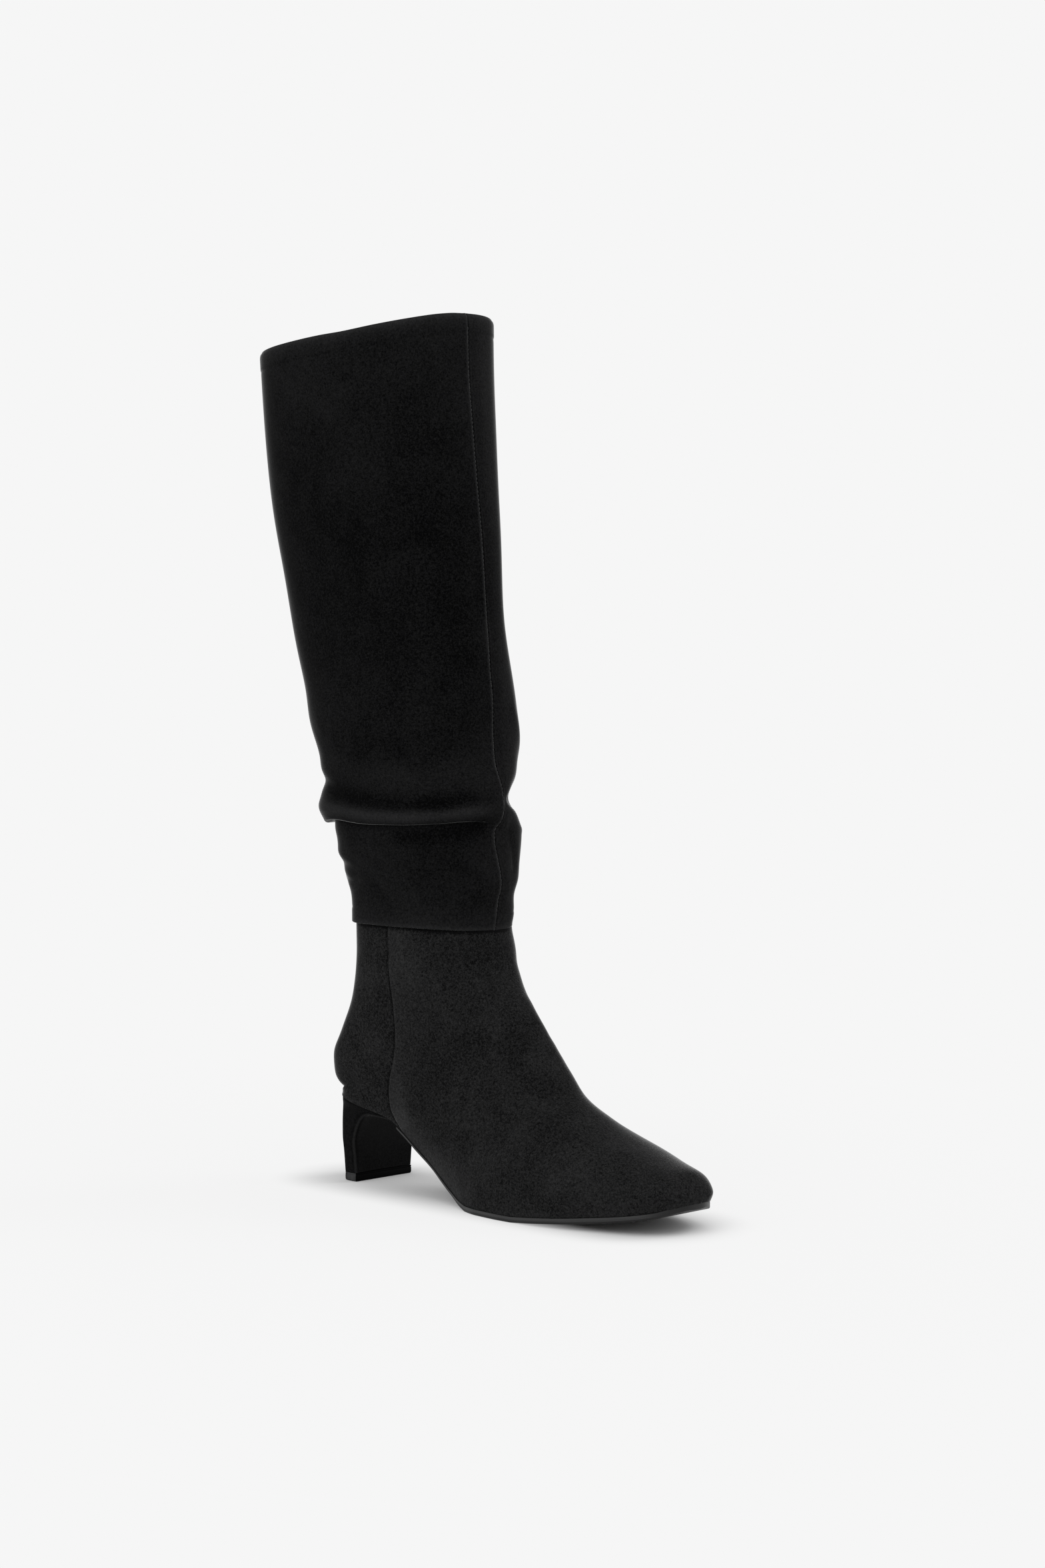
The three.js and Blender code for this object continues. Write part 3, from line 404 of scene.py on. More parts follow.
def planFull(x, side):
    at = (np.asarray(x, float) - last["seatBack"]) / last["length"]
    seat, ball = (through(planRows["at"], planRows[key], at) for key in ("seat", "ball"))
    half = (seat * last["seat"] + ball * last["ball"] + (1 - seat - ball) * last["toe"]) / 2
    return half * through(planRows["at"], planRows[side], at)


def toeRound(x, grow=0.0):
    return closing(tip + grow - x, last["toeReach"], last["toeSquareness"])


def planHalf(x, side, grow=0.0):
    # Feather line's half width, with both ends rounded
    heelEnd = closing(x - last["seatBack"] + grow, last["heelReach"], last["seatSquareness"])
    return (planFull(x, side) + grow) * toeRound(x, grow) * heelEnd


def middleY(x):
    return last["toeShift"] * through([0.55, 0.8, 1], [0, 0.6, 1], (x - last["seatBack"]) / last["length"])


# The foot part's sections, in planes that lean from level, at the leg, to upright, at the ball

leg = dict(back=7.9, depth=96.8, width=63.8, hem=141.5, tongue=24.0)
ankleX = last["seatBack"] + leg["back"]
legTop = leg["hem"] + leg["tongue"]
legRows = dict(
    backX=[0, 0.002, -0.008, -0.055, -0.13, -0.192, -0.168],
    backZ=[1, 0.925, 0.79, 0.67, 0.565, 0.465, 0.385],
    frontX=[1, 1.03, 1.075, 1.14, 1.205, 1.254, 1.286],
    frontZ=[1, 0.945, 0.865, 0.8, 0.757, 0.721, 0.698],
    half=[1, 1.01, 1.01, 0.99, 0.975, 0.965, 0.955],
    wide=[0.5, 0.5, 0.46, 0.39, 0.33, 0.3, 0.29])
soleRows = dict(
    base=[0, 0.014, 0.045, 0.1, 0.18, 0.26, 0.34, 0.42, 0.49, 0.56, 0.63, 0.7, 0.78, 0.86, 0.93, 1],
    top=[0.542, 0.548, 0.555, 0.566, 0.581, 0.6, 0.621, 0.641, 0.669, 0.703, 0.741, 0.781, 0.83, 0.888,
         0.944, 1],
    high=[0.851, 0.834, 0.812, 0.781, 0.738, 0.688, 0.633, 0.568, 0.518, 0.475, 0.43, 0.391, 0.35, 0.306,
          0.272, 0.235],
    lateral=[0.05, 0.05, 0.048, 0.045, 0.05, 0.075, 0.1, 0.075, 0.035, 0.018, 0.015, 0.018, 0.022, 0.028,
             0.03, 0.03],
    medial=[0.05, 0.05, 0.05, 0.055, 0.07, 0.1, 0.15, 0.17, 0.12, 0.06, 0.03, 0.02, 0.022, 0.028, 0.03,
            0.03],
    wide=[0.29, 0.29, 0.29, 0.29, 0.28, 0.27, 0.26, 0.24, 0.22, 0.2, 0.2, 0.22, 0.24, 0.27, 0.3, 0.32],
    round=[2.15, 2.15, 2.15, 2.15, 2.1, 2.05, 2, 2, 2, 2.05, 2.1, 2.15, 2.2, 2.25, 2.3, 2.3])
footGrid = dict(
    lowSteps=40, highSteps=90, rows=330, crowd=0.045, clearance=0.05, round=2.15, narrow=0.985,
    legAt=[0, 0.1, 0.2, 0.3, 0.4, 0.5, 0.6, 0.7, 0.8, 0.88, 0.95],
    soleAt=[0, 0.006, 0.018, 0.04, 0.075, 0.12, 0.17, 0.22, 0.27, 0.32, 0.37, 0.42, 0.47, 0.515, 0.56,
            0.61, 0.66, 0.71, 0.76, 0.81, 0.86, 0.9, 0.93, 0.955, 0.974, 0.988, 0.996, 1])
# The toe's lower edge, and the sole under it, are drawn back by so many mm from one x to another
toeTuck = dict(foot=1.7, sole=3.4, start=224, end=240, high=6)


def legSections(at):
    at = np.asarray(at, float)
    rows = np.linspace(0, 1, len(legRows["backX"]))
    value = {key: through(rows, column, at) for key, column in legRows.items()}
    half = value["half"] * leg["width"] / 2
    return dict(baseX=ankleX + leg["depth"] * value["backX"], baseZ=leg["hem"] * value["backZ"],
                topX=ankleX + leg["depth"] * value["frontX"], topZ=leg["hem"] * value["frontZ"],
                lateral=half, medial=half, featherLateral=0 * at, featherMedial=0 * at,
                wide=value["wide"], round=0 * at + footGrid["round"], middle=0 * at)


def soleSections(base):
    base = np.asarray(base, float)
    value = {key: through(soleRows["base"], column, base) for key, column in soleRows.items()}
    baseX = last["seatBack"] + last["length"] * base
    topX = last["seatBack"] + last["length"] * value["top"]
    floor = soleTop(baseX) + footGrid["clearance"]
    roof = closing(tip - topX, last["roofReach"], last["roofSquareness"])
    half = {side: (planFull(baseX, side) + value[side] * last["ball"] / 2) * toeRound(baseX)
            for side in ("lateral", "medial")}
    return dict(baseX=baseX, baseZ=floor, topX=topX, topZ=mix(floor, last["vamp"] * value["high"], roof),
                lateral=half["lateral"], medial=half["medial"], featherLateral=planHalf(baseX, "lateral"),
                featherMedial=planHalf(baseX, "medial"), wide=value["wide"], round=value["round"],
                middle=middleY(baseX))


def sectionSide(rows, side, sign):
    # Half a section, from the feather line to the middle of the top: a superellipse above the widest
    # place, and another below it that is as wide as the feather line where it meets the sole
    half = np.maximum(rows[side], 1e-6)
    narrow = np.minimum(rows["feather" + side.capitalize()] / half, footGrid["narrow"])
    low = footGrid["round"]
    depth = rows["wide"] / (1 - narrow ** low) ** (1 / low)
    start = np.arcsin(np.minimum(rows["wide"] / depth, 1) ** (low / 2))
    u = np.linspace(0, 1, footGrid["lowSteps"] + 1)[None, :]
    angle = start[:, None] * (1 - u)
    lowAcross = np.maximum(np.cos(angle), 0) ** (2 / low)
    lowUp = rows["wide"][:, None] - depth[:, None] * np.sin(angle) ** (2 / low)
    v = np.linspace(0, 1, footGrid["highSteps"] + 1)[None, 1:] * math.pi / 2
    power = 2 / rows["round"][:, None]
    highAcross = np.maximum(np.cos(v), 0) ** power
    highAcross[:, -1] = 0
    highUp = mix(rows["wide"][:, None], 1, np.sin(v) ** power)
    across = np.concatenate([lowAcross, highAcross], 1)
    up = np.concatenate([lowUp, highUp], 1)
    x = mix(rows["baseX"][:, None], rows["topX"][:, None], up)
    z = mix(rows["baseZ"][:, None], rows["topZ"][:, None], up)
    y = rows["middle"][:, None] + sign * half[:, None] * across
    return np.stack([x, y, z], -1)


def footSurface():
    # Both sides of the foot part from the leg's top to the toe, as one grid: the lateral feather line
    # is the first column, the middle of the top is the middle one, the medial feather line the last
    legAt, soleAt = np.array(footGrid["legAt"]), np.array(footGrid["soleAt"])
    parts = [legSections(legAt), soleSections(soleAt)]
    rows = {key: np.concatenate([part[key] for part in parts]) for key in parts[0]}
    lateral = sectionSide(rows, "lateral", -1)
    medial = sectionSide(rows, "medial", 1)
    rings = np.concatenate([lateral, medial[:, -2::-1]], 1)
    over = rings[:1].copy()
    over[..., 2] = legTop
    rings = np.concatenate([over, rings])
    ringShare = np.concatenate([[-1.2], legAt - 1, soleAt])
    return rings, ringShare


footRings, footShare = footSurface()
apart = np.linalg.norm(np.diff(footRings, axis=0), axis=2).mean(axis=1)
ringAt = np.concatenate([[0], np.cumsum(apart)])
ringAt /= ringAt[-1]
crowd = np.linspace(0, 1, footGrid["rows"])
footAt = crowd - footGrid["crowd"] * np.sin(2 * math.pi * crowd) / (2 * math.pi)
foot = splineRows(footRings, footGrid["rows"], footAt)
foot[-1] = footRings[-1]
aboveSole = foot[..., 2] - soleTop(np.minimum(foot[..., 0], tip))
tuck = smooth(toeTuck["start"], toeTuck["end"], foot[..., 0]) * (1 - smooth(0, toeTuck["high"], aboveSole))
foot[..., 0] -= toeTuck["foot"] * tuck
middleColumn = footGrid["lowSteps"] + footGrid["highSteps"]
footNormals = gridNormals(foot)
# Outward is forward and up on the instep
footNormals *= np.sign(np.sum(footNormals[100, middleColumn] * np.array([1, 0, 1])))
shareOfRow = np.interp(footAt, ringAt, footShare)
print("foot surface worked out", foot.shape)

# Side seam, where the vamp laps the quarter: high is a share of the hem's height, at of the foot
seamRows = dict(high=[0, 0.24, 0.285, 0.33, 0.385, 0.435, 0.485, 0.61, 0.74, 0.86, 1, 1.2],
                at=[0.285, 0.25, 0.232, 0.221, 0.218, 0.22, 0.227, 0.236, 0.234, 0.226, 0.222, 0.222])
upper = dict(lap=0.35, edge=0.3, under=5.0, wall=1.8, quarterRows=0.285, vampColumns=142,
             quarterColumns=64)


def seamX(z):
    at = through(np.array(seamRows["high"]) * leg["hem"], seamRows["at"], z)
    return last["seatBack"] + last["length"] * at


def seamColumns(surface):
    # Column number on each side where a row crosses the seam; 0 and the last where it doesn't
    ahead = surface[..., 0] - seamX(surface[..., 2])
    columns = []
    for block in (ahead[:, :middleColumn + 1], ahead[:, :middleColumn - 1:-1]):
        crossed = block > 0
        first = np.argmax(crossed, axis=1)
        rows = np.arange(len(block))
        before = np.maximum(first - 1, 0)
        a, b = block[rows, before], block[rows, first]
        part = np.where(first > 0, -a / np.where(b - a == 0, 1, b - a), 0)
        columns.append(np.where(first > 0, before + part, 0.0))
    return columns[0], surface.shape[1] - 1 - columns[1]


seamLateral, seamMedial = seamColumns(foot)

# The hem's height above its CAD place, by turn about the leg, in mm: the shaft's lowest ring follows it
hemLine = dict(turn=[-180, -130, -100, -64, -30, 0, 30, 90, 180],
               rise=[2.4, 2.6, 3.2, 3.0, 2.3, 2.0, 2.5, 2.4, 2.4], tall=0.08)
hemPaintedShadow = dict(below=0.7, wide=1.3, tone=-0.9)
ankleMiddle = ankleX + leg["depth"] / 2


def paintedShadowUnderHem(points):
    # Painted shadow under the hem: a bell about a line a little below it
    degrees = np.degrees(np.arctan2(points[..., 1], points[..., 0] - ankleMiddle))
    below = leg["hem"] + through(hemLine["turn"], hemLine["rise"], degrees) - points[..., 2]
    return hemPaintedShadow["tone"] * np.exp(-((below - hemPaintedShadow["below"]) / hemPaintedShadow["wide"]) ** 2)


# Soft troughs and ridges of the foot part, in mm: from x0, z0 to x1, z1 in the side view, on the
# lateral side (-1) or the medial one (1), how deep, and how wide
footCreaseRows = [
    (96, 132, 78, 108, -1, -0.35, 5.0),
    (104, 117, 88, 101, -1, 0.3, 5.0),
    (112, 106, 96, 92, -1, -0.35, 5.5),
    (12, 126, 34, 119, -1, -0.3, 5.0),
    (8, 108, 30, 104, -1, 0.25, 6.0),
    (150, 52, 176, 40, -1, 0.25, 9.0),
    (168, 40, 150, 26, -1, -0.3, 8.0),
    (96, 128, 80, 110, 1, -0.35, 5.0),
    (108, 108, 92, 94, 1, -0.3, 5.0),
    (168, 40, 150, 26, 1, -0.3, 8.0),
]


def footCreases(surface):
    # Each crease is a bell across its line, faded past the line's ends
    total = np.zeros(surface.shape[:2])
    for x0, z0, x1, z1, side, deep, wide in footCreaseRows:
        dx, dz = x1 - x0, z1 - z0
        length = math.hypot(dx, dz)
        along = ((surface[..., 0] - x0) * dx + (surface[..., 2] - z0) * dz) / length ** 2
        off = ((surface[..., 0] - x0) * dz - (surface[..., 2] - z0) * dx) / length
        ends = smooth(-0.35, 0.2, along) * (1 - smooth(0.8, 1.35, along))
        onSide = smooth(-4, 6, side * surface[..., 1])
        total += deep * np.exp(-(off / wide) ** 2) * ends * onSide
    return total


foot += footNormals * footCreases(foot)[..., None]

# The heel cup is fuller just above the seat: a bell of so many mm about a height above the feather line
heelCup = dict(full=1.5, high=5.2, tall=5.0, front=8.0, end=34.0)
cupAbove = foot[..., 2] - soleTop(np.clip(foot[..., 0], last["seatBack"], tip))
cupShare = np.exp(-((cupAbove - heelCup["high"]) / heelCup["tall"]) ** 2)
cupShare *= 1 - smooth(heelCup["front"], heelCup["end"], foot[..., 0])
foot += footNormals * np.array([1, 1, 0]) * (heelCup["full"] * cupShare)[..., None]

# The instep is fuller towards the hem: so many mm at the hem, less and less over a length below it
instep = dict(full=1.9, length=26.0, lip=1.5, front=0.1)
fromTop = leg["hem"] + 2.0 - foot[..., 2]
instepShare = np.exp(-np.maximum(fromTop, 0) / instep["length"]) * smooth(-instep["lip"], 0, fromTop)
instepShare = instepShare * smooth(instep["front"], 0.8, footNormals[..., 0])
foot += footNormals * np.array([1, 1, 0]) * (instep["full"] * instepShare)[..., None]


def wallOf(outer, normals, thick, rim=5):
    # A sheet with a real thickness: outer face, rounded rims and inner face, as one closed grid.
    # The rim is a half circle of the wall's thickness on each side
    t = np.linspace(0, math.pi, rim + 2)[1:-1][:, None, None]
    def edge(points, around, away):
        middle = points - around * thick / 2
        return middle[None] + thick / 2 * (np.cos(t) * around[None] + np.sin(t) * away[None])
    inner = outer - normals * thick
    def awayFrom(row, nextRow):
        step = row - nextRow
        return step / np.maximum(np.linalg.norm(step, axis=-1, keepdims=True), 1e-9)
    endRim = edge(outer[-1], normals[-1], awayFrom(outer[-1], outer[-2]))
    startRim = edge(outer[0], normals[0], awayFrom(outer[0], outer[1]))[::-1]
    return np.concatenate([outer, endRim, inner[::-1], startRim])


def cappedSheet(outer, normals, thick):
    # wallOf closes the first and last rows; the first and last columns are closed by flat strips
    grid = wallOf(outer, normals, thick)
    rows, columns = grid.shape[:2]
    faces = gridFaces(rows, columns, closed=True)
    half = len(outer)
    strips = []
    for column in (0, columns - 1):
        front = np.arange(half)
        back = rows - 1 - (rows - 2 * half) // 2 - np.arange(half)
        strips.append(np.stack([front[:-1] * columns + column, back[:-1] * columns + column,
                                back[1:] * columns + column, front[1:] * columns + column], -1))
    return grid.reshape(-1, 3), np.concatenate([faces, *strips])


def sheetTone(tone, rim=5):
    # The outer face's tone, its ends' on the rims, and none inside
    ends = [np.tile(tone[-1], (rim, 1)), np.zeros(tone.shape), np.tile(tone[0], (rim, 1))]
    return np.concatenate([tone, *ends])


# Painted light and shade of the vamp and the quarter: painted light along the side seam and over the arch, a
# painted highlight on the vamp's rolled edge and painted shade in the lap at the seam; lighter at the sole
# and the toe, darker on the instep. Each pair is where a change begins and where it is full
vampPaintedLightAndShade = dict(seam=0.28, seamWide=15, lip=0.3, lipAt=0.9, lipWide=0.6, groove=-0.5, grooveWide=0.4,
                 arch=0.7, archHigh=15, archBack=(30, 56), archFront=(84, 132),
                 sole=0.2, soleHigh=3, soleFrom=(110, 140), toe=0.1, toeFrom=(150, 200),
                 instep=-0.12, instepAt=(105, 84), instepWide=(26, 22))
quarterPaintedLightAndShade = dict(seam=-0.35, seamAt=-0.4, seamWide=1.0, sole=0.3, soleHigh=2.5)


def makeVamp():
    # From seam to seam over the top, and from feather line to feather line past the seams' feet;
    # its edge is rolled down to the quarter
    count = upper["vampColumns"]
    share = np.linspace(0, 1, count)
    share = share - 0.5 * np.sin(2 * math.pi * share) / (2 * math.pi)
    at = seamLateral[:, None] + (seamMedial - seamLateral)[:, None] * share[None]
    outer = columnsAt(foot, at)
    normals = columnsAt(footNormals, at)
    normals /= np.maximum(np.linalg.norm(normals, axis=2, keepdims=True), 1e-9)
    atSeam = seamLateral > 0.01
    gap = np.linalg.norm(np.diff(outer, axis=1), axis=2)
    fromLeft = np.concatenate([np.zeros((len(outer), 1)), np.cumsum(gap, 1)], 1)
    fromRight = fromLeft[:, -1:] - fromLeft
    near = np.minimum(fromLeft, fromRight)
    rise = upper["lap"] * (1 - smooth(1, 16, near)) - upper["edge"] * np.exp(-(near / 0.5) ** 2)
    rise += -0.12 * np.exp(-((near - 2.4) / 0.8) ** 2)
    outer = outer + normals * (rise * atSeam[:, None])[..., None]
    above = np.maximum(outer[..., 2] - soleTop(np.minimum(outer[..., 0], tip)), 0)
    x = outer[..., 0]
    lateral = outer[..., 1] < 0
    look = vampPaintedLightAndShade
    # Painted light near the seam, a painted highlight on the rolled edge and painted shade at the very edge
    tone = look["seam"] * np.exp(-(near / look["seamWide"]) ** 2)
    tone += look["lip"] * np.exp(-((near - look["lipAt"]) / look["lipWide"]) ** 2)
    tone = (tone + look["groove"] * np.exp(-(near / look["grooveWide"]) ** 2)) * atSeam[:, None]
    # Painted light over the arch
    onArch = smooth(*look["archBack"], x) * (1 - smooth(*look["archFront"], x)) * lateral
    tone += look["arch"] * np.exp(-(above / look["archHigh"]) ** 2) * onArch
    tone += look["sole"] * np.exp(-(above / look["soleHigh"]) ** 2) * smooth(*look["soleFrom"], x)
    tone += look["toe"] * smooth(*look["toeFrom"], x)
    offX = (x - look["instepAt"][0]) / look["instepWide"][0]
    offZ = (outer[..., 2] - look["instepAt"][1]) / look["instepWide"][1]
    tone += look["instep"] * np.exp(-offX ** 2 - offZ ** 2)
    # Painted shadow under the hem
    tone += paintedShadowUnderHem(outer)
    points, faces = cappedSheet(outer, normals, upper["wall"] * 0.5)
    makePiece("vamp", points, faces, vampSuede, "foot_upper", tone=sheetTone(tone))


def makeQuarter():
    # Behind the seams, and a little way under the vamp, where it is one thickness lower
    keep = shareOfRow <= upper["quarterRows"]
    rows = np.where(keep)[0]
    step = np.linalg.norm(np.diff(foot[:, :middleColumn], axis=1), axis=2).mean()
    tuck = upper["under"] / step
    points, faces, tones, start = [], [], [], 0
    for side, columnsOfSeam in ((0, seamLateral), (1, seamMedial)):
        share = np.linspace(0, 1, upper["quarterColumns"])
        if side == 0:
            at = np.minimum(columnsOfSeam + tuck, middleColumn - 8)[:, None] * share[None]
        else:
            end = foot.shape[1] - 1
            inner = np.maximum(columnsOfSeam - tuck, middleColumn + 8)
            at = inner[:, None] + (end - inner)[:, None] * share[None]
        outer = columnsAt(foot, at)[rows]
        normals = columnsAt(footNormals, at)[rows]
        normals /= np.maximum(np.linalg.norm(normals, axis=2, keepdims=True), 1e-9)
        ahead = outer[..., 0] - seamX(outer[..., 2])
        outer = outer - normals * (0.95 * smooth(-1.2, 0.6, ahead))[..., None]
        above = np.maximum(outer[..., 2] - soleTop(np.maximum(outer[..., 0], last["seatBack"])), 0)
        look = quarterPaintedLightAndShade
        # Painted shadow just behind the seam, under the vamp's lapped edge, and lighter just above the sole
        tone = look["seam"] * np.exp(-((ahead - look["seamAt"]) / look["seamWide"]) ** 2)
        tone += look["sole"] * np.exp(-(above / look["soleHigh"]) ** 2)
        # Painted shadow under the hem
        tone += paintedShadowUnderHem(outer)
        p, f = cappedSheet(outer, normals, upper["wall"] * 0.6)
        tones.append(sheetTone(tone).ravel())
        points.append(p)
        faces.append(f + start)
        start += len(p)
    makePiece("quarter", np.concatenate(points), np.concatenate(faces), quarterSuede,
              "foot_upper", tone=np.concatenate(tones))


makeVamp()
makeQuarter()


# The shaft: rings from the hem up, as shares, with one rolled fold above the ankle

tube = dict(collar=460.3, depth=143.0, width=109.0, roll=2.5, wall=1.9, gap=0.3, squareness=2.15,
            seamRise=0.55, rows=350, innerRows=110, turns=196, lining=0.7, liningRows=130, liningTurns=98,
            crowd=0.86, straight=4.0)
shaftRows = dict(
    z=[0.027, 0.058, 0.083, 0.106, 0.128, 0.153, 0.17, 0.181, 0.178, 0.184, 0.2, 0.213, 0.229, 0.25, 0.272,
       0.294, 0.326, 0.357, 0.405, 0.452, 0.5, 0.562, 0.625, 0.72, 0.814, 0.91, 1],
    back=[-0.5, -0.514, -0.532, -0.53, -0.541, -0.536, -0.548, -0.566, -0.6, -0.616, -0.638, -0.641,
          -0.64, -0.616, -0.612, -0.606, -0.627, -0.667, -0.703, -0.752, -0.793, -0.815, -0.827, -0.847,
          -0.846, -0.831, -0.812],
    front=[0.504, 0.506, 0.507, 0.499, 0.49, 0.477, 0.47, 0.47, 0.489, 0.515, 0.521, 0.515, 0.5, 0.468,
           0.436, 0.421, 0.409, 0.404, 0.389, 0.373, 0.354, 0.333, 0.312, 0.274, 0.24, 0.209, 0.188],
    lateral=[1.005, 1.012, 1.077, 1.144, 1.198, 1.231, 1.215, 1.2, 1.28, 1.326, 1.346, 1.299, 1.233,
             1.225, 1.236, 1.253, 1.265, 1.224, 1.133, 1.028, 0.959, 0.942, 0.955, 0.976, 0.99, 0.996, 1],
    medial=[1.005, 1.012, 1.077, 1.144, 1.198, 1.231, 1.235, 1.242, 1.252, 1.232, 1.198, 1.174, 1.163,
            1.163, 1.191, 1.232, 1.258, 1.224, 1.133, 1.028, 0.959, 0.942, 0.955, 0.976, 0.99, 0.996, 1],
    lean=[0, 0, 0, 0, 0, 0, 0, 0.5, 0.5, 1, 1, 1, 1.5, 2, 2, 2.4, 3, 3.4, 4, 4.6, 5.2, 5.8, 6, 6.3, 6.4,
          6.4, 5.9])
# Round the front the fold opens out into one soft swelling: where its rows lie there, and how wide
frontFold = dict(row=[0, 1, 2, 3, 4, 5, 6, 7, 8, 9, 10, 11, 12, 14, 16, 17, 19, 26],
                 z=[0, 0, 0, 0, 0, -0.003, -0.012, -0.017, -0.008, -0.006, -0.002, 0, 0, 0, 0, 0, 0, 0],
                 swell=[1, 1, 1.02, 1.012, 1.01, 1.015, 1.02, 1.02, 0.985, 0.945, 0.975, 1.0, 1.005, 1, 1.0,
                        1.0, 1, 1],
                 start=-26, full=14, last=62, end=98)
# The fold and the collar rise or sag by these mm at these turns, as hemLine does for the hem
foldLine = dict(turn=[-180, -150, -130, -112, -83, -64, -44, -24, -8, 10, 30, 60, 110, 180],
                rise=[-1.0, -0.8, 1.2, 2.4, 0.6, 0.6, 1.2, 2.2, 2.5, 2.3, 1.5, 0, -0.5, -1.0],
                z=0.182, tall=0.02)
collarLine = dict(turn=[-180, -135, -115, -100, -80, -68, -50, -33, -25, -15, -5, 40, 90, 180],
                  rise=[1.4, 1.6, 0.7, -0.2, -1.25, -1.85, -1.1, 0, 0.65, 1.4, 1.8, 1.8, 1.0, 1.4], fade=6)
dent = dict(z=0.213, turn=36.0, deep=0.08, above=0.032, below=0.016, broad=26.0)
# The front seam wanders from the middle by these mm at these heights
seamLine = dict(
    z=[141, 150, 158, 165, 172, 180, 190, 195, 198.5, 202, 210, 215, 222, 230, 262, 285, 430, 461],
    y=[-1.2, -1.2, -0.3, 1.2, 0.9, -0.4, -2.0, -1.9, 0.0, 2.1, 2.2, 1.8, 1.3, 1.0, 1.2, 0.2, 0, 1.0])
tubeTall = tube["collar"] - leg["hem"]
hemDepth = leg["depth"] + 2 * (tube["gap"] + tube["wall"])
hemWidth = leg["width"] + 2 * (tube["gap"] + tube["wall"])


def ringTurns():
    # Turns from the back round by the front, in radians, closer together near the front seam
    even = np.linspace(-1, 1, tube["turns"], endpoint=False) + 1 / tube["turns"]
    drawn = np.sin(math.pi * even) / math.pi * np.cos(math.pi * even / 2) ** 2
    return math.pi * (even - tube["crowd"] * drawn)


def shaftSurface(turns):
    # Superellipse rings: lateral and medial halves, pushed in by the dent and tipped back
    z = leg["hem"] + tubeTall * np.array(shaftRows["z"])
    spread = np.maximum((z - legTop) / (tube["collar"] - legTop), 0)
    full = mix(hemDepth, tube["depth"], spread)
    half = mix(hemWidth, tube["width"], spread) / 2
    back, front = (np.array(shaftRows[key]) * full for key in ("back", "front"))
    z = np.concatenate([[leg["hem"], leg["hem"] + tube["straight"]], z])
    degrees = np.degrees(turns)[None]
    sector = smooth(frontFold["start"], frontFold["full"], degrees)
    sector = sector * (1 - smooth(frontFold["last"], frontFold["end"], degrees))
    row = np.maximum(np.arange(len(z)) - 2, 0)
    opened = 1 + (np.interp(row, frontFold["row"], frontFold["swell"]) - 1)[:, None] * sector
    dropped = tubeTall * np.interp(row, frontFold["row"], frontFold["z"])[:, None] * sector
    share = (z[:, None] - leg["hem"]) / tubeTall
    nearFold = np.exp(-((share - foldLine["z"]) / foldLine["tall"]) ** 2)
    nearHem = np.clip(1 - share / hemLine["tall"], 0, 1)
    for line, weight in ((foldLine, nearFold), (collarLine, share ** collarLine["fade"]), (hemLine, nearHem)):
        dropped = dropped + through(line["turn"], line["rise"], degrees) * weight

    def pad(values, first):
        return np.concatenate([[first, first], values])

    centre = pad(ankleMiddle + (back + front) / 2, ankleMiddle)[:, None]
    depth = pad((front - back) / 2, hemDepth / 2)[:, None]
    lateral = pad(half * np.array(shaftRows["lateral"]), hemWidth / 2)[:, None]
    medial = pad(half * np.array(shaftRows["medial"]), hemWidth / 2)[:, None]
    lean = np.radians(pad(np.array(shaftRows["lean"], float), 0))[:, None]
    roll = math.radians(tube["roll"]) * share ** 2
    c, s = np.cos(turns)[None], np.sin(turns)[None]
    power = 2 / tube["squareness"]
    up = (share - dent["z"]) / np.where(share > dent["z"], dent["above"], dent["below"])
    aside = (degrees - dent["turn"]) / dent["broad"]
    swell = opened - dent["deep"] * tube["depth"] / depth * np.exp(-up ** 2 - aside ** 2)
    along = swell * depth * np.sign(c) * np.abs(c) ** power
    across = swell * np.where(s < 0, lateral, medial) * np.sign(s) * np.abs(s) ** power
    return np.stack([centre + along * np.cos(lean), across,
                     z[:, None] + dropped + along * np.sin(lean) + across * np.sin(roll)], -1)


turns = ringTurns()
shaftControl = shaftSurface(turns)
shaftFace = splineRows(shaftControl, tube["rows"])
shaftNormals = gridNormals(shaftFace, around=True)
shaftNormals *= np.sign(shaftNormals[tube["rows"] // 2, 0, 0] * -1)
